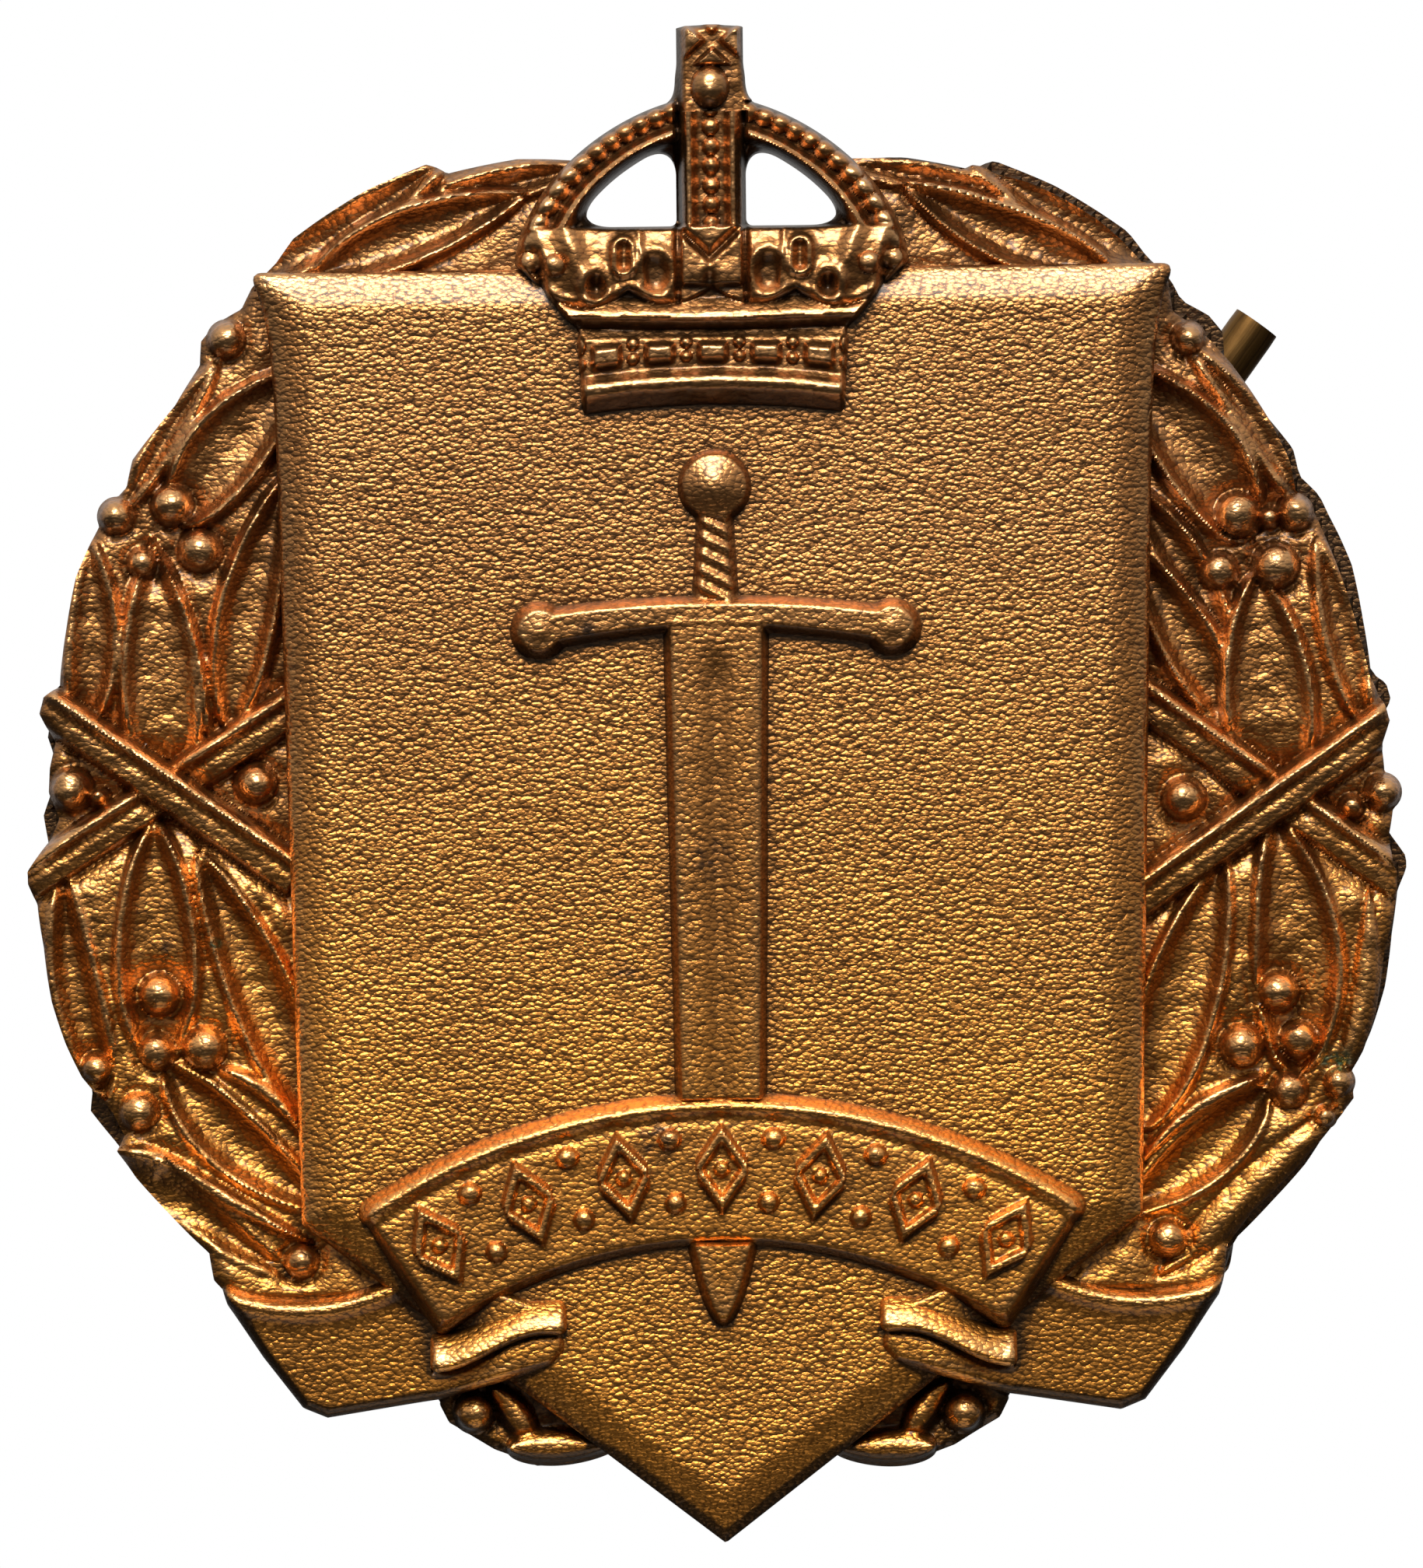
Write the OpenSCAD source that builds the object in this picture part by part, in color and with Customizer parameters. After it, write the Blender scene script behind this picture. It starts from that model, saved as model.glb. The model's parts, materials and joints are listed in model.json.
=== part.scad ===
/* [Shield] */
// Width between the two lower corners
shield_w = 27.4; // [24:0.2:30]
// Width across the flared upper corners
shield_top_w = 30; // [27:0.2:33]
// Height of the top edge above the badge's middle
shield_top = 16.6; // [15:0.1:18]
// Length of the side, from the top edge to the lower corner
shield_side = 31.2; // [28:0.2:33]
// Depth of the point below the lower corners
shield_point = 10.6; // [9:0.2:12]
// Height of the shield's field in front of the back rim
shield_t = 2.8; // [2.4:0.1:3.2]
// Length of the side over which the upper corners flare out
flare_l = 8; // [6:0.5:10]
// Width of the rounded, pillow-like edge
shield_round = 1.4; // [0.8:0.1:2]
// Depth of the hollow struck into the back of the shield
hollow_d = 1.6; // [1.2:0.1:1.8]
// Width of the flat rim left round the hollow
rim_w = 1.6; // [1.2:0.1:2.4]
// Metal left behind the crown, the scroll, the sword and the leaves, where the hollow follows them
relief_wall = 1.25; // [1.1:0.05:1.6]
// Distance from their edges to the edge of that hollow
relief_inset = 1; // [0.8:0.1:1.4]

/* [Wreath] */
// Radius of the round ground that carries the wreath
wreath_r = 22.2; // [21:0.1:23.5]
// Height of the ground's lower end, behind the tails, above the badge's middle
wreath_foot = -15; // [-16:0.2:-14]
// Thickness of the ground between the leaves
ground_t = 1.3; // [1.1:0.1:1.5]
// Height of a leaf's midrib in front of the back rim
leaf_t = 2; // [1.8:0.1:2.4]
// Height of a leaf's edge in front of the back rim
leaf_edge_t = 1.6; // [1.5:0.1:1.8]
// Radius of a berry
berry_r = 0.72; // [0.5:0.02:0.9]
// Height of a berry in front of the back rim
berry_t = 2.3; // [2:0.1:2.6]
// Width of each crossed ribbon
ribbon_w = 1.5; // [1:0.1:2]
// Height of the upper ribbon in front of the back rim
ribbon_t = 2.2; // [1.8:0.1:2.6]

/* [Crown] */
// Half width of the arches at their feet
arch_w = 6.5; // [5.8:0.1:7]
// Height of the arches above their feet
arch_h = 5.9; // [5.2:0.1:6.4]
// Height of the arches' feet above the badge's middle
crown_v = 16.5; // [16:0.1:17.5]
// Width of each arch, from its edge to the pierced opening
arch_band = 1.7; // [1.3:0.1:2]
// Width of the upright in the middle of the crown
upright_w = 2.2; // [1.8:0.1:2.6]
// Height of the crown's top above its feet
crown_h = 8.3; // [7.8:0.1:9]
// Radius of the orb on top of the arches
orb_r = 0.6; // [0.4:0.05:0.7]
// Width of the circlet at its lower edge
circlet_w = 8.7; // [8:0.1:9.4]
// Height of the circlet
circlet_h = 2.4; // [2:0.1:2.6]
// Height of the crown's flat parts in front of the back rim
crown_t = 3.2; // [3:0.1:3.5]
// Height that rims, pearls and jewels add to the crown
crown_rise = 0.4; // [0.2:0.1:0.6]
// Thickness of the free upper part of the crown
crown_plate = 2.6; // [1.8:0.1:3]

/* [Scroll] */
// Radius of the scroll's upper edge
scroll_r = 21.7; // [20:0.1:23]
// Width of the scroll's face
scroll_w = 5.1; // [4.4:0.1:5.6]
// Half of the angle that the scroll's face spans
scroll_angle = 34; // [30:1:37]
// Height of the scroll's upper edge above the badge's middle
scroll_v = -10.3; // [-11:0.1:-9.8]
// Height of the scroll's face in front of the back rim
scroll_t = 3.3; // [3.1:0.1:3.6]
// Height that the ornaments and the border add to the scroll
scroll_rise = 0.3; // [0.2:0.05:0.5]
// Height of the tails in front of the back rim
tail_t = 2; // [1.6:0.1:2.3]

/* [Sword] */
// Width of the blade
blade_w = 3.4; // [2.6:0.1:4.4]
// Length of the blade, from the guard to the point
blade_l = 23.4; // [22:0.1:25]
// Height of the guard above the badge's middle
guard_v = 5.4; // [4.8:0.1:6.2]
// Width of the guard
guard_w = 11.6; // [9:0.1:14]
// Length of the grip, from the guard to the pommel's middle
grip_l = 4.2; // [3.6:0.1:5]
// Thickness of the guard, the grip and the pommel, as seen from the front
hilt_w = 1.3; // [1:0.1:1.6]
// Height that the sword adds to the shield's field
sword_rise = 0.6; // [0.4:0.05:0.8]

/* [Lugs] */
// Distance between the two lugs
lug_spacing = 16; // [13:0.5:18]
// Diameter of the lug wire
lug_wire = 1.5; // [1.2:0.1:1.8]
// Radius of the hole that each loop leaves
lug_hole_r = 1.3; // [1.2:0.05:1.6]
// Distance from the back rim to the middle of the lug holes
lug_reach = 3; // [2.8:0.1:4]
// Height of the lugs' line above the badge's middle
lug_v = 5; // [3:0.5:6]
// Height of the solder fillet round each foot
braze_h = 0.8; // [0.4:0.1:1.2]

/* [Split pin] */
// Width of the half-round wire
pin_w = 1.64; // [1.4:0.02:1.8]
// Gap between the sprung-open halves
pin_gap = 0.44; // [0.3:0.02:0.5]
// Inner radius of the eye
eye_r = 1; // [0.7:0.1:1.2]
// Free length left between the eye and the left lug
eye_gap = 0.7; // [0.4:0.1:1.5]
// Inner radius of each bend
bend_r = 1; // [0.6:0.1:1.5]
// Distance from the right lug's middle to the corner of the front leg's bend
front_reach = 2.9; // [2.4:0.1:4]
// Angle at which the front leg is bent up
front_angle = 54; // [50:1:70]
// Length of the front leg beyond its corner
front_l = 12; // [9:0.5:13]
// Distance from the right lug's middle to the corner of the back leg's bend
back_reach = 1.6; // [1.5:0.1:3]
// Angle at which the back leg is bent up
back_angle = 60; // [50:1:75]
// Length of the back leg beyond its corner
back_l = 12; // [9:0.5:13]

/* [Hidden] */

bronze = "#9c6b33";
copper = "#a8623a";
solder = "#9d998c";
pin_brass = "#8a7238";

// Small overlap that joins two solids of one struck piece
bite = 0.2;
// Swelling of the pin's wire where it is bent
bulge = 0.03;
shield_corner_v = shield_top - shield_side;
shield_tip_v = shield_corner_v - shield_point;
ground_v = -1;
// Levels of the crown: the circlet's lower edge and the foot of the openings above the arches' feet
circlet_v = crown_v - 1.4 - circlet_h;
opening_v = 1.65;
pin_r = pin_w / 2;
lug_r = lug_hole_r + lug_wire / 2;

// The shield's field, without the flared corners, and one flared corner
shield_outline = [
    [-shield_w / 2, shield_top],
    [-shield_w / 2, shield_corner_v],
    [0, shield_tip_v],
    [shield_w / 2, shield_corner_v],
    [shield_w / 2, shield_top]
];
flare_outline = [
    [shield_w / 2 - bite, shield_top],
    [shield_top_w / 2, shield_top],
    [(shield_w + shield_top_w) / 4, shield_top - 0.3 * flare_l],
    [shield_w / 2 - bite, shield_top - flare_l]
];

// Leaves of the right half, from the wreath's foot round to the crown:
// foot, tip, half width and how far the midrib bows to the left of that line
leaves = [
    [[14.3, -13.4], [18.2, -10.3], 1.2, -0.5],
    [[13.6, -14.6], [19.9, -11.9], 0.9, -0.9],
    [[14.6, -16.2], [19.2, -12.7], 0.9, -0.7],
    [[14.2, -11.2], [16.7, -3.1], 1.4, -0.3],
    [[18.9, -7.6], [18.8, -1.5], 1.6, 0],
    [[20.3, -10], [21.6, -3.6], 1.2, -0.5],
    [[18.1, 0.8], [18.4, 7], 1.6, 0],
    [[20.6, 2.2], [20.5, 7.8], 1.1, -0.4],
    [[15.9, 2.2], [14.6, 9.4], 1.3, 0.3],
    [[17.2, 8.6], [14.5, 13], 1.5, -0.5],
    [[19.2, 9.2], [16, 13.8], 1.1, -0.7],
    [[14.9, 16.9], [9.2, 20.3], 1.1, -0.5],
    [[12.4, 16.9], [6.6, 19.4], 1.2, -0.4],
    [[9.6, 19.6], [4.8, 20.2], 0.9, -0.1],
    [[9, -20.9], [5.2, -22.1], 0.8, -0.2]
];
// Berries of the right half
berries = [
    [6.6, -21.1], [8, -20.9], [13.9, -15.6], [19.1, -10.7], [20.5, -9.6], [18.4, -7], [18.6, -8.8],
    [17.1, -8.9], [15.3, -0.4], [21.5, -0.4], [17, 7.4], [18.6, 7], [17.6, 9], [19.5, 8.7], [15.9, 14.5]
];
// Ends of the upper and the lower ribbon where they cross the right half of the wreath
ribbon_over = [[14, -3.8], [22.2, 2.2]];
ribbon_under = [[14, 2.4], [22.4, -3.2]];
// Ground behind the sprays, from the shield's side to the crown's arch, and behind the wreath's foot
spray_ground = [
    [4.6, 15.6], [13, 12], [17.2, 13.4], [16.7, 15], [15.2, 16.2], [14.2, 17.8], [12.4, 19.1], [9.6, 20],
    [6, 20.3], [4.6, 20.3]
];
foot_ground = [[0, -16], [12, -16], [8.8, -21], [6.6, -22.2], [4, -22.1]];
// Right tail and the fold that joins it to the scroll's face
tail_outline = [
    [11, -16.2], [14.5, -17.2], [16.9, -16.2], [16.4, -17.4], [13.8, -20.8], [9, -20.3], [5.6, -19.3], [8, -17.4]
];
fold_outline = [[9.9, -17.6], [9.3, -19.2], [5.6, -19.4], [5.4, -17.2], [7.5, -16.6]];

// Lays a flat shape drawn round the badge's middle on the back plane and raises it towards the front
module raise(t, from = 0) {
    translate([0, -from, -lug_v]) rotate([90, 0, 0]) linear_extrude(height = t - from) children();
}

// The same for a solid drawn with its height along Z
module stand() {
    translate([0, 0, -lug_v]) rotate([90, 0, 0]) children();
}

module both_sides() {
    children();
    mirror([1, 0, 0]) children();
}

// Faces of a closed sweep of n rings with m points each
function sweep_faces(n, m) = concat(
    [[for (j = [0 : m - 1]) j]],
    [for (i = [0 : n - 2]) for (j = [0 : m - 1])
        [i * m + j, (i + 1) * m + j, (i + 1) * m + (j + 1) % m, i * m + (j + 1) % m]],
    [[for (j = [m - 1 : -1 : 0]) (n - 1) * m + j]]
);

// One ring across a leaf at the share s of its length: foot, edge, midrib, edge, foot
function leaf_ring(foot, tip, w, bow, s) =
    let (d = tip - foot, l = norm(d), side = [-d[1], d[0]] / l,
         c = foot + s * d + bow * sin(180 * s) * side,
         half = 0.1 + w * pow(sin(180 * s), 0.8),
         ridge = leaf_edge_t + (leaf_t - leaf_edge_t) * sin(180 * s))
    [[c[0] - half * side[0], c[1] - half * side[1], 0],
     [c[0] + half * side[0], c[1] + half * side[1], 0],
     [c[0] + half * side[0], c[1] + half * side[1], leaf_edge_t],
     [c[0], c[1], ridge],
     [c[0] - half * side[0], c[1] - half * side[1], leaf_edge_t]];

module leaf(foot, tip, w, bow) {
    steps = 7;
    rings = [for (i = [0 : steps]) leaf_ring(foot, tip, w, bow, i / steps)];
    stand() polyhedron([for (r = rings) each r], sweep_faces(steps + 1, 5), convexity = 4);
}

module dome(r, t) {
    hull() {
        cylinder(r = r, h = t - r, $fn = 10);
        translate([0, 0, t - r]) sphere(r = r, $fn = 10);
    }
}

module berry(at) {
    stand() translate([at[0], at[1], 0]) dome(berry_r, berry_t);
}

// A flat band between two points with a raised ridge along its upper side
module ribbon(ends, t) {
    d = ends[1] - ends[0];
    l = norm(d);
    place = [ends[0][0], ends[0][1], 0];
    stand() translate(place) rotate([0, 0, atan2(d[1], d[0])]) {
        translate([0, -ribbon_w / 2, 0]) cube([l, ribbon_w, t - 0.3]);
        translate([0, ribbon_w / 6, 0]) cube([l, ribbon_w / 3, t]);
    }
}

module shield() {
    stand() hull() {
        linear_extrude(height = shield_t - 1) polygon(shield_outline);
        linear_extrude(height = shield_t - 0.4) offset(delta = -shield_round / 4) polygon(shield_outline);
        linear_extrude(height = shield_t) offset(delta = -shield_round) polygon(shield_outline);
    }
    both_sides() raise(shield_t - 1) polygon(flare_outline);
}

module wreath() {
    raise(ground_t) difference() {
        translate([0, ground_v]) circle(r = wreath_r, $fn = 96);
        translate([-wreath_r, wreath_foot - 2 * wreath_r]) square(2 * wreath_r);
        translate([-wreath_r, shield_top]) square(2 * wreath_r);
    }
    both_sides() {
        for (l = leaves) leaf(l[0], l[1], l[2], l[3]);
        for (b = berries) berry(b);
        ribbon(ribbon_under, ribbon_t - 0.4);
        ribbon(ribbon_over, ribbon_t);
    }
    both_sides() raise(ground_t) {
        polygon(spray_ground);
        polygon(foot_ground);
    }
}

module sword() {
    tip_v = guard_v - blade_l;
    // Blade, with its midrib
    stand() hull() {
        linear_extrude(height = shield_t) polygon([
            [-blade_w / 2, guard_v], [-blade_w / 2.4, tip_v + 3], [0, tip_v],
            [blade_w / 2.4, tip_v + 3], [blade_w / 2, guard_v]
        ]);
        linear_extrude(height = shield_t + sword_rise) polygon([
            [-0.1, guard_v], [-0.1, tip_v + 3], [0, tip_v + 2], [0.1, tip_v + 3], [0.1, guard_v]
        ]);
    }
    // Guard, grip and pommel
    raise(shield_t + sword_rise) {
        translate([-guard_w / 2, guard_v - hilt_w / 2]) square([guard_w, hilt_w]);
        translate([-hilt_w / 2, guard_v]) square([hilt_w, grip_l]);
    }
    both_sides() stand() translate([guard_w / 2, guard_v, 0]) dome(hilt_w * 0.7, shield_t + sword_rise + 0.2);
    stand() translate([0, guard_v + grip_l, 0]) dome(hilt_w, shield_t + sword_rise + 0.3);
}

// Sector of a ring round the scroll's centre, from radius r0 to r1
module arc_band(r0, r1, angle) {
    translate([0, scroll_v - scroll_r]) intersection() {
        difference() {
            circle(r = r1, $fn = 120);
            circle(r = r0, $fn = 120);
        }
        polygon([[0, 0], 2 * r1 * [-sin(angle), cos(angle)], [0, 2 * r1], 2 * r1 * [sin(angle), cos(angle)]]);
    }
}

module scroll() {
    border = 0.35;
    inner_r = scroll_r - scroll_w;
    // Face with a raised border all round its sunken field
    difference() {
        raise(scroll_t + scroll_rise) arc_band(inner_r, scroll_r, scroll_angle);
        raise(scroll_t + 1, scroll_t) arc_band(inner_r + border, scroll_r - border, scroll_angle - 1.1);
    }
    // A plain row of lozenges with pellets between them
    for (i = [-4 : 4])
        stand() translate([0, scroll_v - scroll_r, 0]) rotate([0, 0, i * scroll_angle / 4.9])
            translate([0, scroll_r - scroll_w / 2, 0]) {
                if (i % 2 == 0) cylinder(r = scroll_w * 0.24, h = scroll_t + scroll_rise, $fn = 4);
                else dome(0.55, scroll_t + scroll_rise);
            }
    both_sides() {
        raise(tail_t) polygon(tail_outline);
        raise(scroll_t - 0.4) polygon(fold_outline);
    }
}

// Half of the space under one arch: an ellipse quarter beside the upright
module arch_quarter(inset) {
    a = arch_w - inset;
    b = arch_h - inset;
    scale([1, b / a]) intersection() {
        circle(r = a, $fn = 64);
        square(a);
    }
}

// Outline of the solid crown below the openings
module crown_body() {
    polygon([
        [-circlet_w / 2, circlet_v], [circlet_w / 2, circlet_v], [circlet_w / 2 + 0.3, crown_v - 1.5],
        [arch_w - 1.4, crown_v], [arch_w - 1.4, crown_v + opening_v],
        [1.4 - arch_w, crown_v + opening_v], [1.4 - arch_w, crown_v], [-circlet_w / 2 - 0.3, crown_v - 1.5]
    ]);
}

module crown() {
    rim = 0.45;
    top_v = crown_v + crown_h;
    // Arches and upright, pierced on both sides of the upright
    translate([0, crown_plate - crown_t, 0]) raise(crown_plate) translate([0, crown_v]) difference() {
        union() {
            both_sides() arch_quarter(0);
            translate([-upright_w / 2, 0]) square([upright_w, crown_h]);
        }
        both_sides() intersection() {
            arch_quarter(arch_band);
            translate([upright_w / 2, opening_v]) square(arch_w);
        }
    }
    // Solid crown below the openings, down to the shield
    raise(crown_t) crown_body();
    // Pearls on the arches and on the upright
    both_sides() for (a = [8 : 13 : 74])
        stand() translate([(arch_w - 0.7) * cos(a), crown_v + (arch_h - 0.7) * sin(a), 0])
            dome(0.42, crown_t + crown_rise);
    for (v = [2.2 : 0.75 : 5.2])
        stand() translate([0, crown_v + v, 0]) dome(0.36, crown_t + crown_rise);
    // Orb and cross on top
    stand() translate([0, crown_v + arch_h + 0.3 * orb_r, 0]) dome(orb_r, crown_t + crown_rise);
    raise(crown_t + crown_rise) polygon([
        [-upright_w / 2, top_v], [-upright_w / 2, top_v - 1.2], [0, top_v - 0.8], [upright_w / 2, top_v - 1.2],
        [upright_w / 2, top_v]
    ]);
    // Circlet: two rims with a row of jewels between them
    raise(crown_t + crown_rise) {
        translate([-circlet_w / 2, circlet_v]) square([circlet_w, rim]);
        translate([-circlet_w / 2, circlet_v + circlet_h - rim]) square([circlet_w, rim]);
    }
    for (i = [-3 : 3])
        stand() translate([i * circlet_w / 7.4, circlet_v + circlet_h / 2, 0])
            dome(i % 2 == 0 ? 0.45 : 0.3, crown_t + crown_rise);
}

// Soft negative of the face, struck into the back: behind the shield, and deeper behind what stands on it
module hollow_back() {
    raise(hollow_d, -1) offset(delta = -rim_w) polygon(shield_outline);
    raise(crown_t - relief_wall, -1) offset(delta = -relief_inset) crown_body();
    raise(scroll_t - relief_wall, -1)
        arc_band(scroll_r - scroll_w + relief_inset, scroll_r - relief_inset, scroll_angle - 3);
    raise(shield_t + sword_rise - relief_wall, -1) translate([0, guard_v - blade_l / 2])
        square([blade_w - relief_inset, blade_l - 2 * blade_w], center = true);
    // Behind the leaves, on both sides of the shield
    raise(leaf_t - relief_wall, -1) difference() {
        translate([0, ground_v]) circle(r = wreath_r - rim_w, $fn = 96);
        translate([-wreath_r, wreath_foot - 2 * wreath_r + relief_inset]) square(2 * wreath_r);
        translate([-wreath_r, shield_top - relief_inset]) square(2 * wreath_r);
        offset(delta = relief_inset) polygon(shield_outline);
    }
}

// One die-struck piece: all its ornament is relief, and its back is hollow
module badge_body() {
    color(bronze) difference() {
        union() {
            shield();
            wreath();
            sword();
            scroll();
            crown();
        }
        hollow_back();
    }
}

// Wire loop whose two ends stand on the floor of the hollow, with its hole along X
module lug(x) {
    leg = lug_reach + hollow_d;
    color(copper) translate([x, lug_reach, 0]) {
        rotate([0, 90, 0]) rotate_extrude(angle = 180, $fn = 64)
            translate([lug_r, 0]) circle(d = lug_wire, $fn = 32);
        for (s = [-1, 1])
            translate([0, 0, s * lug_r]) rotate([90, 0, 0]) cylinder(d = lug_wire, h = leg, $fn = 32);
    }
}

// Solder fillet round the two feet of one lug, on the floor of the hollow
module lug_braze(x) {
    color(solder) translate([x, -hollow_d, 0]) difference() {
        union() {
            for (s = [-1, 1])
                translate([0, 0, s * lug_r]) rotate([-90, 0, 0])
                    cylinder(d1 = 2 * lug_wire, d2 = 1.3 * lug_wire, h = braze_h, $fn = 48);
            translate([-lug_wire / 2, 0, -lug_r]) cube([lug_wire, braze_h / 2, 2 * lug_r]);
        }
        for (s = [-1, 1])
            translate([0, -1, s * lug_r]) rotate([-90, 0, 0]) cylinder(d = lug_wire, h = braze_h + 2, $fn = 32);
    }
}

// One half of the pin: straight from the eye, then bent up in its own plane and cut off.
// Its flat side lies in the XZ plane and its round side faces -Y. The wire bulges a little in the bend.
module pin_leg(start, corner, angle, length) {
    r = bend_r + pin_r;
    cut_back = r * tan(angle / 2);
    straight = cut_back - bite / 2;
    difference() {
        union() {
            translate([start, 0, 0]) rotate([0, 90, 0])
                cylinder(r = pin_r, h = corner - straight - start, $fn = 48);
            translate([corner - cut_back, 0, r]) rotate([90, 0, 0]) rotate([0, 0, -90])
                rotate_extrude(angle = angle, $fn = 96) translate([r, 0]) circle(r = pin_r + bulge, $fn = 48);
            translate([corner, 0, 0]) rotate([0, 90 - angle, 0]) translate([0, 0, straight])
                cylinder(r = pin_r, h = length - straight, $fn = 48);
        }
        translate([start - 1, 0, -2 * pin_r]) cube([corner - start + length, 2 * pin_r, length + 4 * pin_r]);
    }
}

// Ring of half-round wire with its flat side inwards, open where the two legs leave it
module pin_eye() {
    neck = asin(pin_gap / 2 / eye_r) / 2;
    out = 2 * (eye_r + pin_r);
    difference() {
        rotate_extrude($fn = 96) translate([eye_r, 0]) circle(r = pin_r, $fn = 48);
        translate([0, 0, -2 * pin_r]) cylinder(r = eye_r, h = 4 * pin_r, $fn = 96);
        translate([0, 0, -2 * pin_r]) linear_extrude(height = 4 * pin_r)
            polygon([[0, 0], [out, -out * tan(neck)], [out, out * tan(neck)]]);
    }
}

module split_pin() {
    right_lug_x = lug_spacing / 2;
    // The eye ends eye_gap short of the left lug
    eye_x = -right_lug_x - lug_wire / 2 - eye_gap - eye_r - pin_r;
    start = eye_x + eye_r + pin_r / 4;
    color(pin_brass) translate([0, lug_reach, 0]) {
        translate([0, -pin_gap / 2, 0])
            pin_leg(start, right_lug_x + front_reach, front_angle, front_l);
        translate([0, pin_gap / 2, 0]) mirror([0, 1, 0])
            pin_leg(start, right_lug_x + back_reach, back_angle, back_l);
        translate([eye_x, 0, 0]) pin_eye();
    }
}

badge_body();
lug(-lug_spacing / 2);  // left_lug
lug(lug_spacing / 2);  // right_lug
lug_braze(-lug_spacing / 2);  // left_lug_braze
lug_braze(lug_spacing / 2);  // right_lug_braze
split_pin();
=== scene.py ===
import json

import bpy
import numpy as np
from mathutils import Euler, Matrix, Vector


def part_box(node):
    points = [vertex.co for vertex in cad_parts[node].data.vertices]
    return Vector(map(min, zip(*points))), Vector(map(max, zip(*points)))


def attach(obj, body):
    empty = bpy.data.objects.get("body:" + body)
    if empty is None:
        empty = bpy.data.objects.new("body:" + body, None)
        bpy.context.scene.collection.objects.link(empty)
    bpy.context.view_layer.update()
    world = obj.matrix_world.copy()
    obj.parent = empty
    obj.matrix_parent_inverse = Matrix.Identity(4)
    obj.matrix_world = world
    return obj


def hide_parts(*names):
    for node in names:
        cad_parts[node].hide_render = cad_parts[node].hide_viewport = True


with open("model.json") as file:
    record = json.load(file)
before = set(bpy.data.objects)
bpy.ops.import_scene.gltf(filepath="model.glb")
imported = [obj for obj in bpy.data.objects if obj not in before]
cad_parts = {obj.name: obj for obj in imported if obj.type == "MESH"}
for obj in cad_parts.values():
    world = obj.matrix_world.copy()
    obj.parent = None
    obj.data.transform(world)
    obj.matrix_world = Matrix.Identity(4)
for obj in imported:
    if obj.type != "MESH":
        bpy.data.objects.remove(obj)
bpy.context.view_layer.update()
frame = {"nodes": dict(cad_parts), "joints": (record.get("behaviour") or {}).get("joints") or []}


# Studio
# The badge hangs upright in front of a white sheet. One broad lamp stands above its face, and the
# room round the camera darkens towards the floor, which gives struck metal its bright upper edges.

def low_corner(node):
    """The lowest corner of a node's box, in mm."""
    return np.array(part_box(node)[0]) * 1000


low = low_corner("badge_body")
TIP = 25.2  # the shield's point lies this far below the badge's middle, in mm
MIDDLE = low[2] + TIP  # height of the badge's middle, in mm

DISTANCE = 450  # camera to face, mm
FIELD = 51.56  # height of the picture at the face, mm
camera_data = bpy.data.cameras.new("camera")
camera_data.sensor_fit = "VERTICAL"
camera_data.sensor_height = 24
camera_data.sensor_width = 24
camera_data.lens = 24 * DISTANCE / FIELD
camera_data.clip_start = 0.01
camera = bpy.data.objects.new("camera", camera_data)
camera.location = Vector((-0.2, -DISTANCE - 3, MIDDLE - 0.2)) / 1000
camera.rotation_euler = Euler((np.pi / 2, np.radians(0.63), 0), "XYZ")
bpy.context.scene.collection.objects.link(camera)
bpy.context.scene.camera = camera


def linear(code):
    """An sRGB hex colour as linear red, green, blue and alpha."""
    c = np.array([int(code[i : i + 2], 16) for i in (1, 3, 5)]) / 255
    return (*np.where(c <= 0.04045, c / 12.92, ((c + 0.055) / 1.055) ** 2.4), 1.0)


def lamp(name, place, aim, size, power):
    """A white rectangular lamp at place that shines at aim; places and sizes are in mm."""
    data = bpy.data.lights.new(name, "AREA")
    data.shape = "RECTANGLE"
    data.size, data.size_y = size[0] / 1000, size[1] / 1000
    data.energy = power
    light = bpy.data.objects.new(name, data)
    light.location = Vector(place) / 1000
    light.rotation_euler = (Vector(aim) - Vector(place)).to_track_quat("-Z", "Y").to_euler()
    bpy.context.scene.collection.objects.link(light)


lamp("lamp_above", (-20, -220, MIDDLE + 235), (0, 0, MIDDLE), (200, 150), 1.3)


def add(tree, kind, inputs=(), **settings):
    """One new node. settings are its properties; inputs pair a socket with a value or another socket."""
    node = tree.nodes.new(kind)
    for key, value in settings.items():
        setattr(node, key, value)
    for socket, value in inputs:
        if isinstance(value, bpy.types.NodeSocket):
            tree.links.new(value, node.inputs[socket])
        else:
            node.inputs[socket].default_value = value
    return node


def maths(tree, operation, first, second):
    """The result of one operation on two numbers or sockets."""
    return add(tree, "ShaderNodeMath", [(0, first), (1, second)], operation=operation).outputs[0]


world = bpy.data.worlds.new("studio")
world.use_nodes = True
bpy.context.scene.world = world
tree = world.node_tree
tree.nodes.clear()
way = add(tree, "ShaderNodeSeparateXYZ", [(0, add(tree, "ShaderNodeTexCoord").outputs["Generated"])])
upwards = add(
    tree, "ShaderNodeMapRange", interpolation_type="SMOOTHSTEP",
    inputs=[
        ("Value", way.outputs["Z"]), ("From Min", -0.4), ("From Max", 0.95),
        ("To Min", 0.04), ("To Max", 0.9),
    ],
)
room = add(tree, "ShaderNodeBackground", [("Color", linear("#fffaf2")), ("Strength", upwards.outputs[0])])
white = add(tree, "ShaderNodeBackground", [("Color", (1, 1, 1, 1)), ("Strength", 1.0)])
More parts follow.
